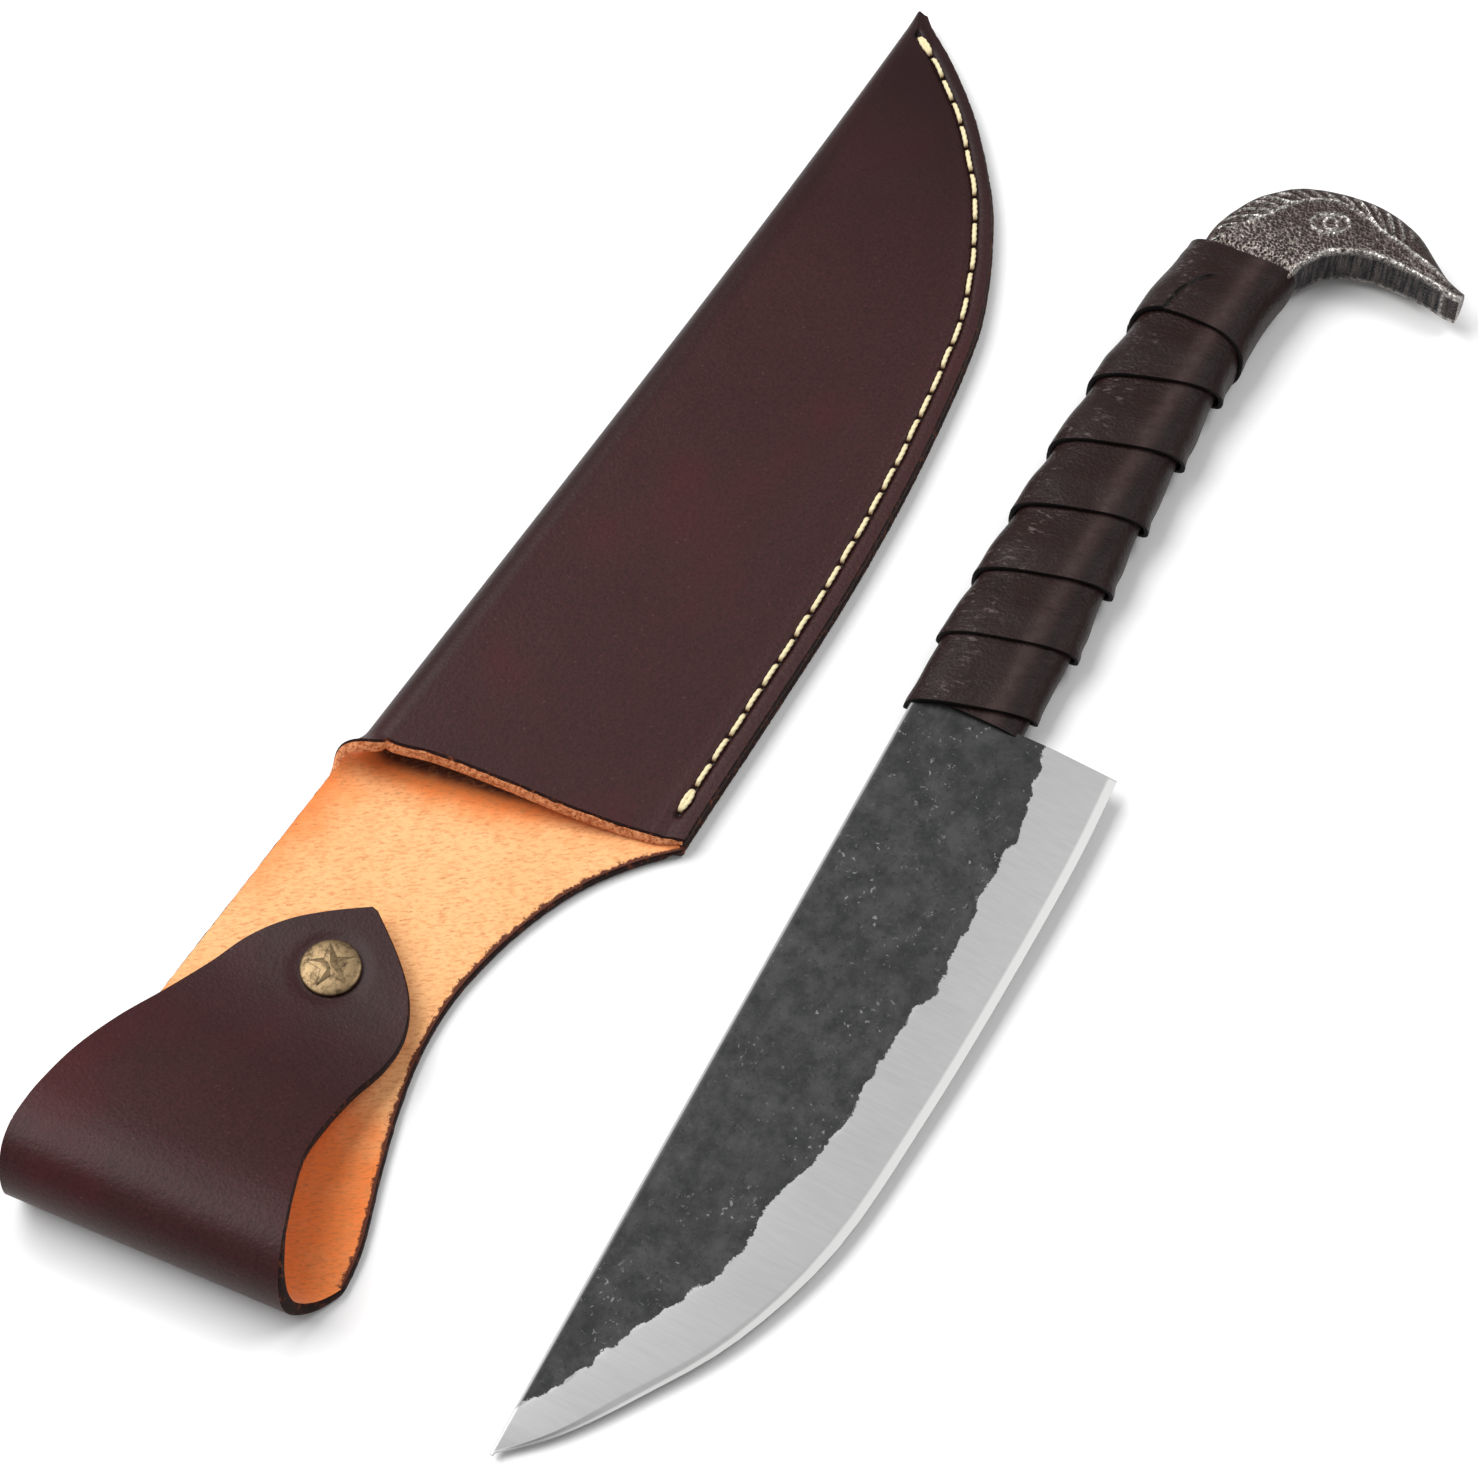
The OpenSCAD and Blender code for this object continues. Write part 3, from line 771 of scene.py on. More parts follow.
def spine_patch():
    """The folded spine. Before the mouth it opens out into the flat strap."""
    outer, inner = [], []
    share = np.linspace(0, 1, FOLD_STEPS + 1)
    arc = math.pi * MOUTH_HEIGHT / 2
    for xs in BACK_X:
        low = weld_y(xs)
        turned = ease((xs - FLARE_FROM) / (MOUTH_X - FLARE_FROM))
        if xs >= MOUTH_X:
            h, r = spine_height(xs), fold_radius(xs)
            phi = math.pi * share
            a = phi - math.pi / 2
            yo, zo = low + r * np.cos(a), h / 2 * (1 + np.sin(a))
            yi, zi = low + max(r - LEATHER, 0.15) * np.cos(a), zo - LEATHER * np.sin(a)
        else:
            flat = STRAP_OVER - low
            bend = math.pi / arc * turned ** 1.3 + 1e-6
            phi = bend * share * (flat + (arc - flat) * turned ** 3.2)
            yo, zo = low + np.sin(phi) / bend, (1 - np.cos(phi)) / bend
            yi, zi = yo - LEATHER * np.sin(phi), zo + LEATHER * np.cos(phi)
        pull = ease(share) * turned * mouth_bend(xs, low, MOUTH_X)
        x = xs - strap_skew(xs) * (yo - FOLD_MID[1]) + pull
        cut = BEVELLED * turned * (1 - ease((xs - MOUTH_X) / BEVEL_RUN))
        outer.append(xyz(x, yo, zo))
        inner.append(xyz(x - cut * ease((phi - 0.9) / 1.4), yi, zi))
    return np.array(outer), np.array(inner)


def front_patch():
    """Crowned front of the pocket, from the top of the folded spine to the seam."""
    outer, inner = [], []
    for xs in FRONT_X:
        h, top = spine_height(xs), weld_y(xs)
        lean = MOUTH_SLANT * (1 - xs / POCKET_LENGTH)
        ye = float(edge_y(xs + lean))
        wide = abs(ye - top)
        m = min(SEAM_MARGIN, wide * 0.5)
        ys = top + (ye - top) * shares(wide, m)
        t = np.clip((ys - ye - m * 0.8) / (wide - m * 0.8), 0, 1)
        rise = 0.72 * t + 0.28 * np.sin(math.pi / 2 * t)
        rise = rise * ease(t / 0.25) ** 0.35
        base = LEATHER + LAYER_GAP * ease((top - ys) / 6)
        zi = base + (h - 2 * LEATHER) * rise
        zi[0] = h - LEATHER
        x = xs + lean * (top - ys) / (POCKET_WIDTH - MOUTH_HEIGHT / 2)
        outer.append(xyz(x, ys, zi + LEATHER))
        inner.append(xyz(x, ys, zi))
    outer, inner = np.array(outer), np.array(inner)
    share = (outer[..., 1] - outer[:, :1, 1]) / (outer[:, -1:, 1] - outer[:, :1, 1])
    mouth_y = outer[0, 0, 1] + share * (outer[0, -1, 1] - outer[0, 0, 1])
    mouth_y[:, 0] = outer[:, 0, 1]
    at = MOUTH_X + (outer[0, -1, 0] - MOUTH_X) * share
    bend = mouth_bend(FRONT_X[:, None], mouth_y, at)
    outer[..., 0] += bend
    inner[..., 0] += bend
    skive = BEVELLED * (1 - ease((FRONT_X - MOUTH_X) / BEVEL_RUN))
    from_spine = np.arange(outer.shape[1])
    inner[..., 0] -= skive[:, None] * ease(from_spine[::-1] / 12)
    dip = seam_dip(outer[..., 0], outer[..., 1])[0] * ease(from_spine / 3)
    swell = 0.22 * wander(outer, 34) + 0.07 * wander(outer, 9, 5.0)
    fade = ease(from_spine / 6)
    lift = swell * fade * ease((outer[..., 2] - 4.4) / 1.2)
    outer[..., 2] += lift - dip
    inner[..., 2] += np.maximum(lift, 0)
    return outer, inner


def stain_and_shade_marks(ob):
    """Painted shade on the flesh side under the mouth's edge, inside the pocket and in the loop
    under the flap; stain along the edges, and darker towards the spine.
    """
    x, y, _ = (points_of(ob) - SHEATH_AT).T
    mouth = MOUTH_X + MOUTH_SLANT * np.clip((-y - 6) / 58, 0, 1)
    high = 0.35 + 0.65 * ease((y + 58) / 40)
    # Painted shadow under the mouth's edge, thinner where the front lies close to the back.
    by_mouth = np.exp(-np.clip(mouth - x, 0, 99) / 6.0) * 2.0 * high
    # Painted shade in the loop, under the flap.
    by_fold = 0.85 * ease((-48 - x) / 26) * ease((x + 107) / 4)
    # Painted shade inside the pocket.
    inside = np.where(x > mouth, 2.0, 0)
    by_spine = 0.9 * np.exp(-np.clip(1.5 - y, 0, 99) / 11) * ease((x + 62) / 50)
    from_edge = np.clip(y - edge_y(x), 0, 99)
    by_edge = 0.45 * np.exp(-from_edge / 3.0)
    mark(ob, "stain_and_shade", np.maximum.reduce([by_mouth, inside, by_spine, by_edge, by_fold]))
    mark(ob, "fringe", np.exp(-from_edge / 1.1) * (x < mouth + 1))


def shade_marks(ob):
    """Painted shade in the stitch holes and along the folded spine, and darker towards the sheath's
    tip.
    """
    x, y, _ = (points_of(ob) - SHEATH_AT).T
    # Painted shade in the stitch holes.
    mark(ob, "hole", seam_dip(x, y)[1])
    tip = 0.85 * ease((x - 130) / 70)
    # Painted shade along the folded spine.
    by_spine = 0.75 * ease((y + 9) / 6) * ease((x + 8) / 30)
    mark(ob, "shade", np.maximum(tip, by_spine))


def sheath_body():
    """Back, strap, folded spine and front as one folded blank."""
    def undyed(p):
        x, y, _ = p - SHEATH_AT
        by_mouth = x < np.interp(y, *MOUTH_EDGE.T) + 0.3
        if not (by_mouth and y > edge_y(x) + 0.4 and x > -12):
            return 0.0
        return 0.01 + 0.99 * float(ease((-9 - y) / 5))

    patches = [[in_sheath(g) for g in patch()]
               for patch in (back_patch, spine_patch, front_patch)]
    ob = sheet("sheath_body", patches, SHEATH_LEATHERS, joined=at_fold, fray=0.12, raw=undyed)
    stain_and_shade_marks(ob)
    shade_marks(ob)
    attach(ob, "sheath")
    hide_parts("back_panel", "front_panel")


def loop_fold():
    """The belt loop's bend, as it lies with the flap closed."""
    rows = smooth_line(FOLD_ROWS, 8)
    outer, inner = [], []
    for angle, left, right in rows:
        c, s = math.cos(math.radians(angle)), math.sin(math.radians(angle))
        y = np.linspace(left, right, 60)
        for grid, radius in ((outer, LOOP_RADIUS), (inner, LOOP_RADIUS - LEATHER)):
            grid.append(xyz(fold_x(y) - radius * c, y, LOOP_RADIUS + radius * s))
    patch = in_sheath(outer), in_sheath(inner)
    ob = sheet("loop_fold", [patch], SHEATH_LEATHERS, joined=at_fold)
    # Painted shade over the loop's whole flesh side, which lies under the flap.
    for name, value in (("stain_and_shade", 0.85), ("hole", 0), ("shade", 0)):
        mark(ob, name, value)
    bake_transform(ob)
    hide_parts("strap_fold")


def flap_leather():
    """The belt loop's flap, from the bend to its pointed end."""
    rows = smooth_line(FLAP_ROWS, 9)[:, None]
    across = np.linspace(0, 1, 46)[:, None]
    plan = rows[..., :2] + (rows[..., 2:4] - rows[..., :2]) * across
    outer = np.concatenate([plan, rows[..., 4:] + 0 * across], -1)
    normal = np.cross(np.gradient(outer, axis=1), np.gradient(outer, axis=0))
    normal /= np.maximum(np.linalg.norm(normal, axis=-1), 1e-9)[..., None]
    normal *= np.sign(normal[..., 2:3])
    normal[0] = (0, 0, 1)
    inner = outer - LEATHER * normal
    away = np.linalg.norm(outer[..., :2] - SNAP_AT, axis=-1)
    dent = 0.35 * bell(away - 6.0, 1.3)
    fade = ease(np.arange(len(outer)) / 10)[:, None]
    outer[..., 2] += (0.16 * wander(outer, 22, 3.0)) * fade - dent
    patch = in_sheath(outer), in_sheath(inner)
    ob = sheet("flap_leather", [patch], SHEATH_LEATHERS, joined=at_fold)
    x, y, _ = (points_of(ob) - SHEATH_AT).T
    from_fold = np.clip(x - fold_x(y), 0, 99)
    # Darker flesh underside, with painted shade growing towards the fold inside the loop.
    mark(ob, "stain_and_shade", 0.35 + 0.5 * np.exp(-from_fold / 25))
    mark(ob, "hole", 0)
    # Painted shade on the flap's grain top, growing away from the fold.
    mark(ob, "shade", 0.4 * ease((from_fold - 14) / 30))
    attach(ob, "flap")
    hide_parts("belt_flap")


def stitches(name, node, level, up):
    """Twisted thread runs between the stitch holes, whose ends dive into the leather."""
    parts = []
    rings, sides = 26, 12
    # The first and last stitches are sewn twice, side by side
    runs = [(i, 0.0) for i in range(1, STITCHES - 1)]
    runs += [(i, shift) for i in (0, STITCHES - 1) for shift in (-0.42, 0.42)]
    for i, shift in runs:
        s = SEAM_START + i * PITCH + np.linspace(-0.3, STITCH_LENGTH + 0.3, rings)
        mid = at_run(seam_line, s)
        t = np.gradient(mid, axis=0)
        t /= np.linalg.norm(t, axis=1)[:, None]
        across = np.stack([-t[:, 1], t[:, 0]], -1)
        q = np.linspace(-1, 1, rings)[:, None]
        arch = 0.75 * (1 - np.abs(q) ** 5) - 0.75
        lay = 0.12 * math.sin(i * 2.3) + shift
        phi = np.linspace(0, 2 * math.pi, sides, endpoint=False)
        ply = 1 + 0.13 * np.cos(3 * (phi - 4.2 * q - i))
        r = THREAD_R * ply * (1 - 0.25 * np.abs(q) ** 6)
        off = r * np.cos(phi) + lay * (1 - q ** 2)
        high = level + up * (arch + 0.86 * r * np.sin(phi))
        plan = mid[:, None] + across[:, None] * off[..., None]
        parts.append(tube(np.concatenate([plan, high[..., None]], -1)))
    points, faces = joined_up(parts)
    ob = mesh_object(name, in_sheath(points), faces, [THREAD])
    ends = np.tile(np.repeat(np.abs(np.linspace(-1, 1, rings)) ** 8, sides), len(runs))
    mark(ob, "hole", ends)
    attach(ob, "sheath")
    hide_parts(node)


def snap_cap():
    """Domed brass cap with a rolled rim and a raised five-pointed star."""
    radius, rim_h, dome = 5.75, 0.4, 1.15
    spokes, rings = 180, 44
    angle = np.linspace(0, 2 * math.pi, spokes, endpoint=False)
    # The first arm points up the sheath
    arm = (np.degrees(angle) + 36 + 180) % 72 - 36
    tip, waist, step = 4.9, 2.1, math.radians(36)
    a = np.radians(np.abs(arm))
    star_edge = tip * waist * math.sin(step) / (tip * np.sin(a) + waist * np.sin(step - a))
    points = []
    for k in range(rings + 1):
        share = k / rings
        r = radius * (1 - share)
        z = rim_h + (dome - rim_h) * math.sqrt(max(0.0, 1 - (r / radius) ** 2.2))
        inside = ease((star_edge - r) / 0.25)
        height = z + 0.06 * inside + 0.42 * np.clip(1 - r / star_edge, 0, 1)
        points.append(xyz(r * np.cos(angle), r * np.sin(angle), height))
    rim = [xyz((radius + d) * np.cos(angle), (radius + d) * np.sin(angle), z)
           for d, z in ((-0.6, -0.05), (-0.1, 0.0), (0.05, 0.15), (0.0, 0.34))]
    pts, faces = tube(rim + points[:-1])
    ob = mesh_object("snap_cap_dome", in_sheath(pts + (*SNAP_AT, SNAP_TOP - 0.1)), faces, [BRASS])
    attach(ob, "flap")
    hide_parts("snap_cap")


# ---- Knife ----

HEEL = 169.5
GRIP_END = 287.5
BLADE_WIDTH = 42.5
SPINE_HALF = 2.0
BLADE_SHAPE = [[0, 0], [0.05, 0.215], [0.125, 0.435], [0.225, 0.68], [0.36, 0.865],
               [0.53, 0.94], [0.7, 0.98], [0.88, 1], [1, 0.987]]
# Border of the forge scale: [along the blade, across]
SCALE_BORDER = [[0, 4], [8.6, 0.2], [13.2, -2.9], [16.5, -5.3], [23.2, -8], [30.5, -11.4],
                [36.4, -14.9], [42.7, -18], [48, -21], [56, -22], [61, -21.9], [71.6, -25],
                [78, -25.8], [82, -27.5], [89, -27.5], [98, -27.7], [109.3, -28.8],
                [113.5, -30.9], [119.9, -29.6], [131, -30.2], [139, -30], [145.6, -29.7],
                [148.2, -30.6], [153.7, -29.4], [162.5, -28.8], [168.8, -27.1], [172, -26.5]]
blade_edge = smooth_line([[u * HEEL, -v * BLADE_WIDTH] for u, v in BLADE_SHAPE])


def edge_at(u):
    return np.interp(u, *blade_edge.T)


def border_at(u):
    return np.interp(u, *np.array(SCALE_BORDER).T)


def blade_side(u, share):
    """Place across and half thickness of the blade at u, from the spine (0) to the edge (1)."""
    deep = min(edge_at(u), -0.6)
    half = SPINE_HALF * (0.5 + 0.5 * min(1, u / HEEL * 1.6))
    v = deep * share
    bevel = max(border_at(u), deep * 0.92)
    micro = deep + min(2.0, abs(deep) * 0.12)
    flat = half * (1 - 0.13 * np.clip(v / min(bevel, -0.5), 0, 1))
    q = np.clip((v - bevel) / min(micro - bevel, -0.2), 0, 1)
    ground = half * 0.87 * (1 - q ** 1.15) + 0.42 * q ** 1.15
    z = np.where(v > bevel, flat, ground)
    z = np.where(v < micro, 0.12 + 0.30 * np.clip((v - deep) / max(micro - deep, 0.05), 0, 1), z)
    return v, z - 0.4 * rounding(-v / 0.5) * (half / SPINE_HALF)


def blade():
    """The forged blade, both sides alike, with its tang inside the grip."""
    along = np.concatenate([np.linspace(0, 30, 90)[:-1], np.linspace(30, HEEL, 280)])
    share = np.concatenate([[0, 0.004, 0.009, 0.016], np.linspace(0.03, 0.92, 84),
                            np.linspace(0.93, 1, 16)])
    top = []
    for u in along:
        v, z = blade_side(u, share)
        top.append(xyz(u, v, z))
    top = np.array(top)
    dents = 0.07 * wander(top, 7, 2.0) + 0.05 * wander(top, 2.6, 9.0)
    border = border_at(top[..., 0])
    scale = ease((top[..., 1] - border) / 0.8 + 0.5)
    top[..., 2] += dents * scale * ease(-top[..., 1] / 1.5)
    bottom = top * (1, 1, -1)
    n, m = top.shape[:2]
    index = np.arange(n * m).reshape(n, m)
    ring = np.concatenate([index, index[:, ::-1] + n * m, index[:, :1]], 1)
    faces = clean_faces(grid_faces(ring))
    faces += [tuple(ring[0, :-1].tolist()), tuple(ring[-1, :-1][::-1].tolist())]
    body = (np.concatenate([top.reshape(-1, 3), bottom.reshape(-1, 3)]), faces)
    tang = tube([bar_ring(u, 0.0, 40) for u in np.linspace(HEEL - 1, GRIP_END, 12)])
    points, faces = joined_up([body, tang])
    ob = mesh_object("blade_forging", in_knife(points), faces, [STEEL])
    sharpen(ob, 40)
    jag = 0.9 * wander(points, 3.5, 4.0)
    u, v = points[:, 0], points[:, 1]
    mark(ob, "ground", border_at(u) - v + jag)
    micro = ease((edge_at(u) + 0.4 + 1.5 * np.clip(u / 60, 0.2, 1) - v) / 0.5)
    arris = 0.8 * bell(v + 0.15, 0.3)
    mark(ob, "bright", np.where(u < HEEL, np.maximum(micro, arris), 0))
    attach(ob, "knife")
    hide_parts("blade")


# ---- Grip ----

SLEEVE = 0.8
STRIP = 0.95
LAYER_STEP = 0.05
# The bar's width and depth, by the blade and by the head
BAR_WIDTHS = [20.4, 18.2]
BAR_DEPTHS = [4.4, 8.8]
BAR_ROUNDING = 0.68


def grip_share(u):
    return np.clip((u - HEEL) / (GRIP_END - HEEL), 0, None)


def grip_middle(u):
    return -11 - 3.3 * grip_share(u) ** 3


def bar_section(u, over, angle):
    """Rounded section of the grip: across and up, grown by over. Angle 0 is the spine's side."""
    w = np.interp(u, [HEEL, GRIP_END], BAR_WIDTHS) + 2 * over
    t = np.interp(u, [HEEL, GRIP_END], BAR_DEPTHS) + 2 * over
    c, s = np.cos(angle), np.sin(angle)
    y = w / 2 * np.sign(c) * np.abs(c) ** BAR_ROUNDING
    z = t / 2 * np.sign(s) * np.abs(s) ** BAR_ROUNDING
    return grip_middle(u) + y, z


def bar_ring(u, over, steps):
    angle = np.linspace(0, 2 * math.pi, steps, endpoint=False)
    y, z = bar_section(u, over, angle)
    return xyz(u, y, z)


def even_angles(steps):
    """Angles that space points evenly round the grip's section."""
    fine = np.linspace(0, 2 * math.pi, 721)
    y, z = bar_section(230.0, SLEEVE, fine)
    runs = run_length(np.stack([y, z], -1))
    return np.interp(np.linspace(0, runs[-1], steps + 1), runs, fine)


# Where each turn's edge crosses the spine side, and the width of the strip
TURN_STARTS = [165.8, 181.8, 197.8, 214.2, 231, 248.4, 266]
STRIP_WIDTH = 21.0


def grip_wrap():
    """One leather strip wound round the grip, each turn over the edge of the turn before."""
    steps = 96
    angles = even_angles(steps)[:-1]
    total = len(TURN_STARTS) - 1
    count = total * steps
    turn = np.arange(count + 1) / steps
    start = np.interp(turn, np.arange(len(TURN_STARTS)), TURN_STARTS)
    across = np.concatenate([[0, 0.15, 0.4, 0.8], np.linspace(1.3, 8, 12),
                             np.linspace(9, STRIP_WIDTH, 12)])
    outer, inner = [], []
    for k in range(count + 1):
        angle = angles[k % steps]
        u = start[k] + across
        lift = (STRIP + 0.1) * (1 - ease((across - 5.0) / 11.5))
        if turn[k] < 1:
            lift = lift * 0.1 + 0.1
        deg = math.degrees(angle)
        lip = 0.75 * bell(deg - 178, 26) + 0.15 * bell((deg + 180) % 360 - 180, 24)
        lift = lift + lip * bell(across, 2.2) * (0.4 + 0.6 * (turn[k] > 1))
        for grid, extra in ((outer, STRIP), (inner, 0)):
            y, z = bar_section(u, SLEEVE + LAYER_STEP + lift + extra, angle)
            grid.append(xyz(u, y, z))
    outer, inner = np.array(outer), np.array(inner)
    ripple = 0.2 * wander(outer, 7, 7.0) + 0.09 * wander(outer * (0.5, 2.4, 1), 2.6, 1.0)
    normal = outer - inner
    normal /= np.linalg.norm(normal, axis=-1)[..., None]
    outer += normal * (ripple * ease(across / 1.5) * ease((STRIP_WIDTH - across) / 1.5))[..., None]
    ob = sheet("grip_strip", [(in_knife(outer), in_knife(inner))], [GRIP, GRIP, GRIP_EDGE],
               bulge=0.12, rows=4, fray=0.05)
    scuff_and_sheen_marks(ob)
    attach(ob, "knife")
    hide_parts("grip_wrap")


def scuff_and_sheen_marks(ob):
    """Scuffs and painted crease highlights on the grip's spine side, a painted sheen band where the
    side turns down, and a painted dark reflection band beyond it.
    """
    local = knife_local(points_of(ob))
    across = local[:, 1] - grip_middle(local[:, 0])
    mark(ob, "scuff_and_highlight", 0.08 + 0.55 * ease((across - 1) / 5))
    # Painted sheen band, then a painted dark reflection band beyond it.
    mark(ob, "painted_sheen", 0.42 * bell(across + 4.6, 1.9))
    mark(ob, "turned", 0.55 * bell(across + 8.4, 1.5))


def knife_local(p):
    """Row points in the knife's own frame."""
    q = p - KNIFE_AT
    cr, sr = math.cos(KNIFE_TURN), math.sin(KNIFE_TURN)
    x, y = q[:, 0] * cr + q[:, 1] * sr, -q[:, 0] * sr + q[:, 1] * cr
    ct, st = math.cos(KNIFE_TILT), math.sin(KNIFE_TILT)
    return xyz(x * ct + q[:, 2] * st, y, -x * st + q[:, 2] * ct)


def grip_sleeve():
    """Thin leather sleeve under the strip, which shows as a tab by the blade."""
    angles = np.linspace(0, 2 * math.pi, 73)
    outer, inner = [], []
    for u in np.linspace(168.6, GRIP_END - 1, 60):
        for grid, over in ((outer, SLEEVE), (inner, 0.06)):
            y, z = bar_section(u, over, angles)
            grid.append(xyz(u, y, z))
    ob = sheet("grip_underlay", [(in_knife(outer), in_knife(inner))],
               [GRIP, GRIP, GRIP_EDGE], bulge=0.1, rows=3)
    scuff_and_sheen_marks(ob)
    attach(ob, "knife")
    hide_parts("grip_sleeve")


# The strip's cut end lies diagonally on the top of its last turn: [along the knife, across]
TUCK_LINE = [[252, -3.0], [256.2, -4.6], [262, -5.6], [267.6, -6.5], [274.4, -7.8],
             [280.1, -11.6], [283.5, -16]]


def tuck(p):
    """Distance of knife points from the strip's cut end, and how much of the end shows there."""
    gap, run = distance_to_line(p[:, :2], smooth_line(TUCK_LINE))
    return gap, (p[:, 2] > 0) * ease((run - 15) / 2) * ease((34 - run) / 5)


def grip_strip_end():
    """The strip's last wrap round the neck, with its diagonal cut end on the top."""
    angles = even_angles(200)
    rows = np.concatenate([[0, 0.01, 0.03], np.linspace(0.06, 0.95, 84), [0.975, 1]])
    k = rows[:, None]
    first = 266 + 3 * np.sin(angles)
    last = GRIP_END + 1.6 - 1.0 * np.minimum(np.cos(angles), 0)
    u = first + (last - first) * k
    over = SLEEVE + LAYER_STEP + (STRIP + 0.1) * (1 - ease((k * 20 - 5) / 11))
    over = over + 0.6 * bell(np.degrees(angles) - 178, 30) * bell(k * 20, 3)
    flare = 2.0 * ease((k - 0.3) / 0.7) * ease(-np.cos(angles) / 0.6)
    grids = []
    for extra in (STRIP * (1 - 0.35 * ease((k - 0.8) / 0.2)), 0):
        y, z = bar_section(np.minimum(u, GRIP_END), over + extra, angles)
        grids.append(xyz(u, y - flare, z))
    outer, inner = grids
    gap, on_top = tuck(outer.reshape(-1, 3))
    flat = outer[..., :2].reshape(-1, 2)
    side = flat[:, 1] - np.interp(flat[:, 0], *np.array(TUCK_LINE).T)
    step = (0.6 * ease(np.sign(side) * gap / 0.35 + 0.5) * np.exp(-np.clip(side, 0, 99) / 5)
            - 0.35 * bell(gap, 0.35)) * on_top
    outer[..., 2] += step.reshape(outer.shape[:2])
    ripple = 0.12 * wander(outer, 6, 7.0) + 0.06 * wander(outer * (0.6, 2.2, 1), 2.4, 1.0)
    outer[..., 2] += ripple * (outer[..., 2] > 0) * ease(rows / 0.1)[:, None]
    ob = sheet("grip_strip_collar", [(in_knife(outer), in_knife(inner))],
               [GRIP, GRIP, GRIP_EDGE], bulge=0.12, rows=4, fray=0.05)
    scuff_and_sheen_marks(ob)
    gap, on_top = tuck(knife_local(points_of(ob)))
    # Painted shade in the groove along the strip's cut end.
    mark(ob, "hole", bell(gap, 0.42) * on_top)
    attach(ob, "knife")
    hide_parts("grip_wrap_end")


# ---- Pommel head ----

HEAD_HALF = 5.0
CROWN = [[285, -5.6], [287.5, -5.9], [290, -6.4], [294.7, -7.2], [299.5, -9], [304.5, -11.8],
         [308, -15.2], [310.6, -18.5], [312.6, -24], [313.7, -30.5], [313.6, -36], [312.5, -41],
         [310.2, -46], [306.5, -50.6], [303.4, -54.6], [301.6, -58.8]]
THROAT = [[285, -25.2], [287.5, -25.6], [290, -26.1], [292.3, -27], [294.8, -28.5],
          [297.1, -30.2], [299, -33], [300.3, -36.4], [301, -40.2], [301, -44.6], [300.6, -49.1],
          [299.9, -53.2], [299.2, -56], [299, -58.6]]
BROW = [[289, -8.6], [293, -9.9], [297, -12.6], [300.6, -15.9], [304.2, -18.3], [307.6, -21.5],
        [309.6, -25.7], [309.9, -29.8], [308.9, -34.7], [307.2, -38.8], [306.2, -42.8],
        [305, -46.8], [303.4, -51.5], [301.6, -56]]
EYE_AT = np.array([304.4, -28.1])
EYE_AXIS = np.array([3.4, -6.9]) / math.hypot(3.4, 6.9)


def eye_relief(p, ragged):
    """The eye's almond ring, its round iris and the socket round it, each from 0 to 1."""
    e = p - EYE_AT
    along, cross = e @ EYE_AXIS, e @ np.array([-EYE_AXIS[1], EYE_AXIS[0]])
    almond = np.hypot(np.abs(cross) + 2.2, along) / 4.7
    ring = bell(almond + 0.03 * ragged - 1.0, 0.1) * (np.abs(along) < 4.2)
    iris = bell(np.hypot(along, cross) + 0.12 * ragged - 1.4, 0.34)
    return ring, iris, (almond < 1) * 1.0


def head_relief(p, crown, throat):
    """Height of the head's face at the flat points p, and how worn and how netted it is."""
    from_crown, run = distance_to_line(p, crown)
    from_throat, _ = distance_to_line(p, throat)
    brow_line = smooth_line(BROW, 6)
    from_brow, brow_run = distance_to_line(p, brow_line)
    from_beak = np.linalg.norm(p - crown[-1], axis=1)
    # Rounded crown edge, square throat arris, thinner towards the beak
    body = HEAD_HALF * (0.86 + 0.14 * ease(from_beak / 26))
    z = body - 1.9 * rounding(from_crown / 3.2)
    z -= 0.45 * rounding(from_throat / 0.8)
    z -= 0.8 * (1 - ease((p[:, 0] - 290.5) / 2.5))
    ragged = wander(np.concatenate([p, np.zeros((len(p), 1))], 1), 1.1, 11.0)
    ridge = bell(from_brow + 0.35 * ragged, 0.42) * ease((from_beak - 2) / 6)
    ridge *= ease((brow_run - 6) / 6)
    # Feathers sweep from the crown towards the beak
    phase = (run - 1.5 * from_crown + 0.22 * ragged) / 3.4
    stroke = 0.5 + 0.5 * np.cos(2 * math.pi * phase)
    strength = np.interp(run, [0, 4, 22, 30, 36, 44, 52, 60], [0, 1, 1, 0.35, 0.3, 0.8, 0.6, 0])
    brow_to_crown, _ = distance_to_line(brow_line, crown)
    by_crown = from_crown < np.interp(brow_run, run_length(brow_line), brow_to_crown)
    on_crest = ease((np.where(by_crown, from_brow, -from_brow) + 0.2) / 0.8)
    feather = stroke ** 2 * on_crest * strength * ease((from_crown - 0.5) / 1.2)
    jaw = bell(from_throat - 0.35, 0.5) * ease((run - 8) / 10)
    ring, iris, socket = eye_relief(p, ragged)
    z += 0.42 * ridge + 0.9 * feather + 0.15 * jaw
    z -= 0.35 * on_crest * strength * ease((from_crown - 0.5) / 1.2)
    z += 0.35 * ring + 0.28 * iris - 0.22 * socket
    worn = np.clip(ridge * 0.8 + feather * 1.1 + jaw * 0.75 + ring * 0.8 + 0.8 * iris, 0, 1)
    net = 0.12 + 0.42 * bell(p[:, 0] - 292, 7) + 0.25 * np.exp(-from_throat / 1.5)
    net *= 1 - 0.8 * on_crest
    return z, worn, net


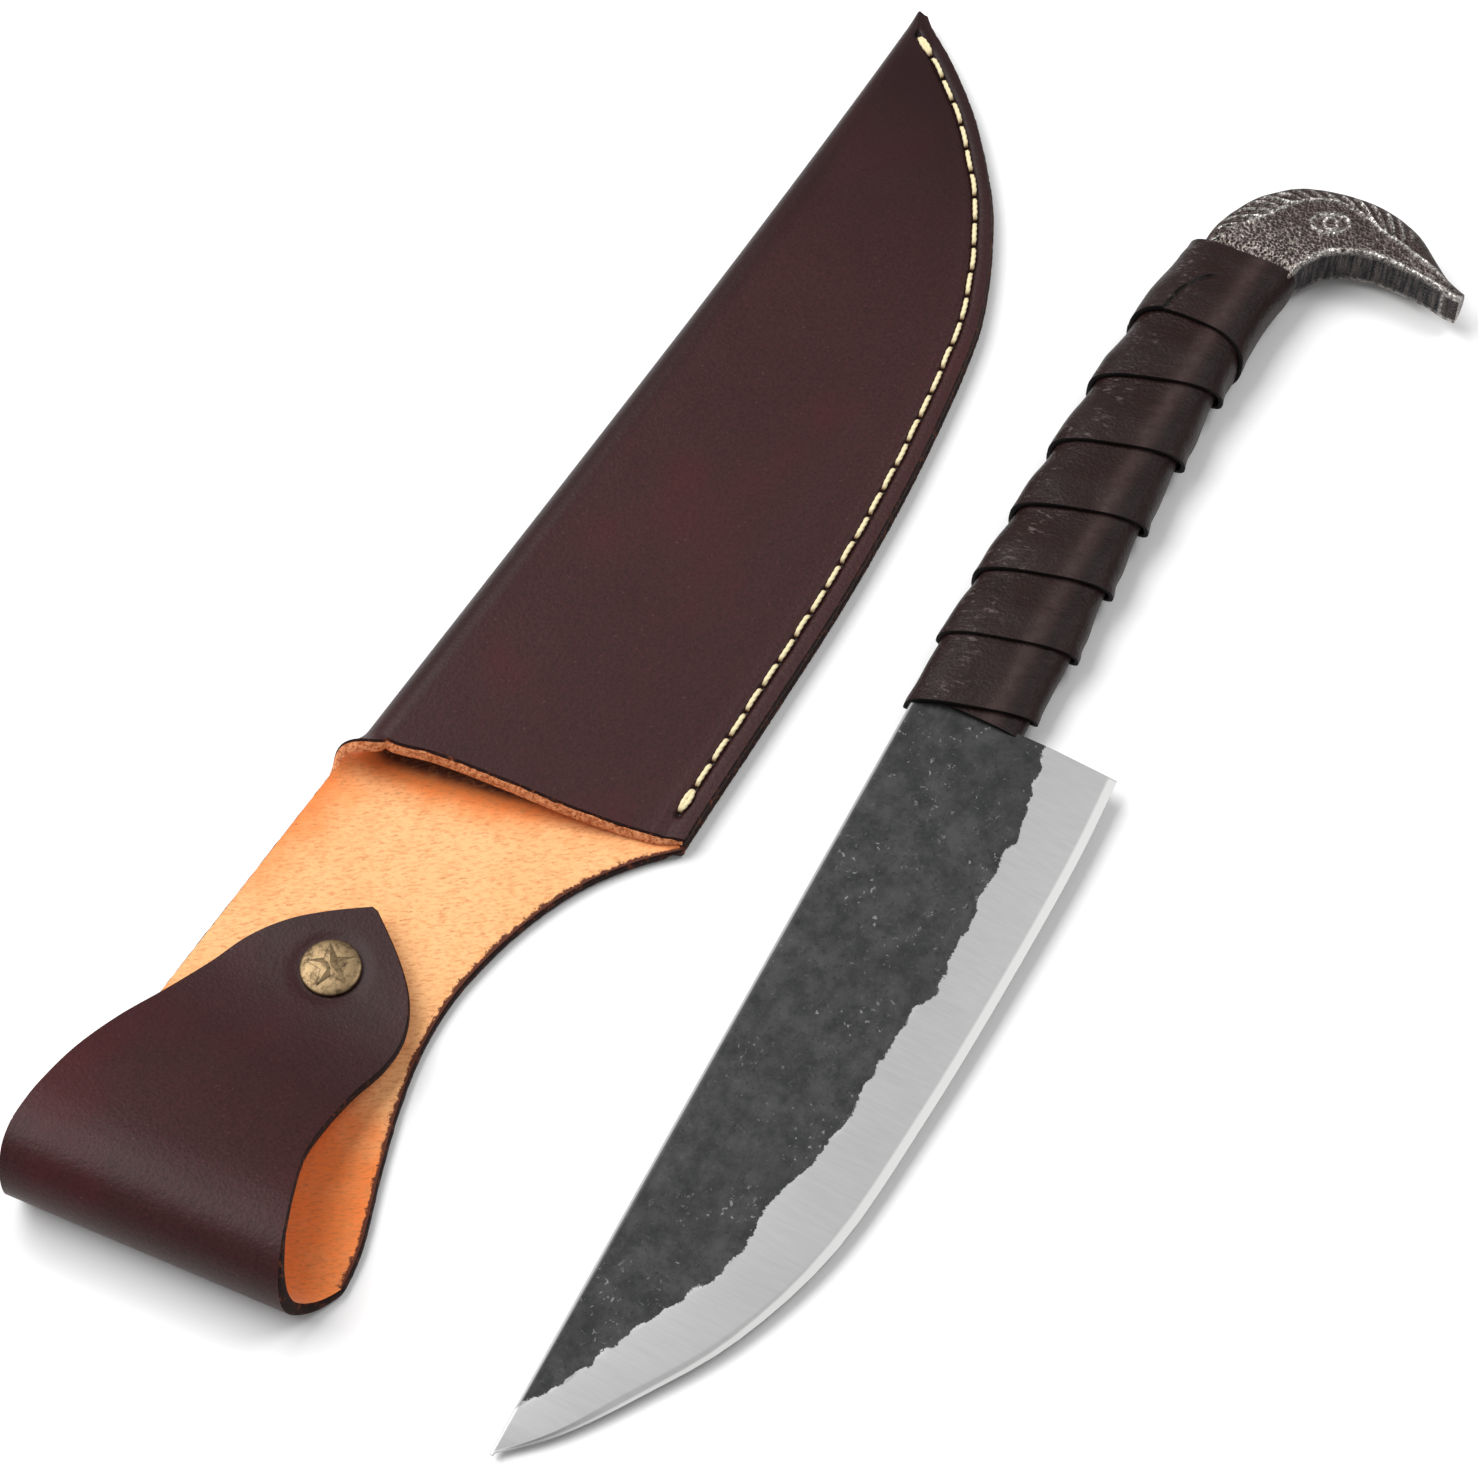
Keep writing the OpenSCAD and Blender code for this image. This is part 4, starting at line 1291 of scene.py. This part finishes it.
def pommel_head():
    """The bird's head: two faces that mirror each other, and the walls between them."""
    steps, rows = 260, 90
    crown, throat = evenly(smooth_line(CROWN, 8), steps), evenly(smooth_line(THROAT, 8), steps)
    share = np.concatenate([[0, 0.01, 0.025], np.linspace(0.045, 0.97, rows), [0.985, 1]])
    flat = crown[:, None] * (1 - share[None, :, None]) + throat[:, None] * share[None, :, None]
    z, worn, net = head_relief(flat.reshape(-1, 2), crown, throat)
    high = np.concatenate([flat, z.reshape(flat.shape[:2])[..., None]], -1)
    high[..., 2] += 0.09 * wander(high, 2.2, 6.0) + 0.05 * wander(high, 1.0, 8.0)
    n, m = high.shape[:2]
    # The walls between the two faces
    levels = np.linspace(1, -1, 15)[1:-1]
    crown_wall = np.stack([high[:, 0] * (1, 1, k) for k in levels], 1)
    throat_wall = np.stack([high[:, -1] * (1, 1, k) for k in levels], 1)
    bulge = (1 - levels ** 2)[None, :, None] * 0.5
    outward = crown - throat
    outward /= np.linalg.norm(outward, axis=1)[:, None]
    crown_wall[..., :2] += bulge * outward[:, None]
    ring_points = np.concatenate([high[:, ::-1], crown_wall, high * (1, 1, -1),
                                  throat_wall[:, ::-1]], 1)
    pts, faces = tube(ring_points)
    ob = mesh_object("pommel_bird_head", in_knife(pts), faces, [PEWTER])
    sharpen(ob, 50)
    zero = np.zeros((n, len(levels)))
    w = worn.reshape(n, m)
    # The beak's last few millimetres are a separate facet with bright outlines
    left = run_length(throat)[-1] - run_length(throat)
    facet = ease((3.9 - left) / 0.3)[:, None] + zero
    outline = bell(left - 3.7, 0.3)[:, None] + zero
    rim = np.abs(levels)[None, :] > 0.8
    edges = np.maximum(outline, rim * (0.25 + 0.75 * facet))
    mark(ob, "worn", np.concatenate([w[:, ::-1], zero, w, 0.8 * edges[:, ::-1]], 1).ravel())
    one = 1 - 0.5 * facet
    flat_zero = np.zeros((n, m))
    net = net.reshape(n, m)
    mark(ob, "net", np.concatenate([net[:, ::-1], zero + 0.3, net, zero], 1).ravel())
    mark(ob, "wall", np.concatenate([flat_zero, one * 0.3, flat_zero, one], 1).ravel())
    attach(ob, "knife")
    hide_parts("pommel_head")


# ---- CAD pieces that stay ----

def carried_over():
    """The snap's hidden parts keep their CAD shape, with softened edges."""
    for name in ("snap_socket", "snap_stud", "snap_post"):
        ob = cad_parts[name]
        ob.data.materials.clear()
        ob.data.materials.append(BRASS)
        soft = ob.modifiers.new("soft_edges", "BEVEL")
        soft.width = 0.12 * MM
        soft.segments = 2
        soft.limit_method = "ANGLE"


# ---- Camera, light and floor ----

def camera():
    """The photo's camera, solved from the two flat objects."""
    cam = bpy.data.objects.new("camera", bpy.data.cameras.new("camera"))
    bpy.context.scene.collection.objects.link(cam)
    cam.location = Vector((-325.82, -194.05, 647.8)) * MM
    target = Vector((-9.32, 5.25, 0)) * MM
    cam.rotation_euler = (target - cam.location).to_track_quat("-Z", "Y").to_euler()
    cam.data.sensor_width = 36
    cam.data.lens = 95
    cam.data.clip_start, cam.data.clip_end = 0.01, 20
    bpy.context.scene.camera = cam


def area_light(name, at, size, watts):
    """A soft light that faces the middle of the row."""
    data = bpy.data.lights.new(name, "AREA")
    data.shape = "RECTANGLE"
    data.size, data.size_y = size
    data.energy = watts
    ob = bpy.data.objects.new(name, data)
    ob.location = at
    ob.rotation_euler = (-Vector(at)).to_track_quat("-Z", "Y").to_euler()
    bpy.context.scene.collection.objects.link(ob)


def studio():
    """White surroundings, a key light from the top of the photo, a weak fill, a pale floor."""
    scene = bpy.context.scene
    scene.view_settings.view_transform = "Standard"
    world = bpy.data.worlds.new("studio")
    world.use_nodes = True
    world.node_tree.nodes["Background"].inputs["Color"].default_value = (1, 1, 1, 1)
    world.node_tree.nodes["Background"].inputs["Strength"].default_value = 0.38
    scene.world = world
    area_light("key", (-0.05, 0.75, 1.15), (1.3, 0.9), 21)
    area_light("fill", (0.7, -0.5, 1.2), (0.6, 0.6), 6)
    pale = Nodes("pale_floor", roughness=0.9)
    pale.color = (0.93, 0.93, 0.93, 1)
    mesh = bpy.data.meshes.new("floor")
    # Just below the table's height, so that the two never share a plane
    s, z = 4.0, -0.0003
    mesh.from_pydata([(-s, -s, z), (s, -s, z), (s, s, z), (-s, s, z)], [], [(0, 1, 2, 3)])
    mesh.materials.append(pale.finish())
    floor = bpy.data.objects.new("floor", mesh)
    scene.collection.objects.link(floor)


camera()
studio()
sheath_body()
loop_fold()
flap_leather()
stitches("front_thread", "front_stitches", FRONT_THREAD, 1)
stitches("back_thread", "back_stitches", BACK_THREAD, -1)
snap_cap()
blade()
grip_sleeve()
grip_wrap()
grip_strip_end()
pommel_head()
carried_over()
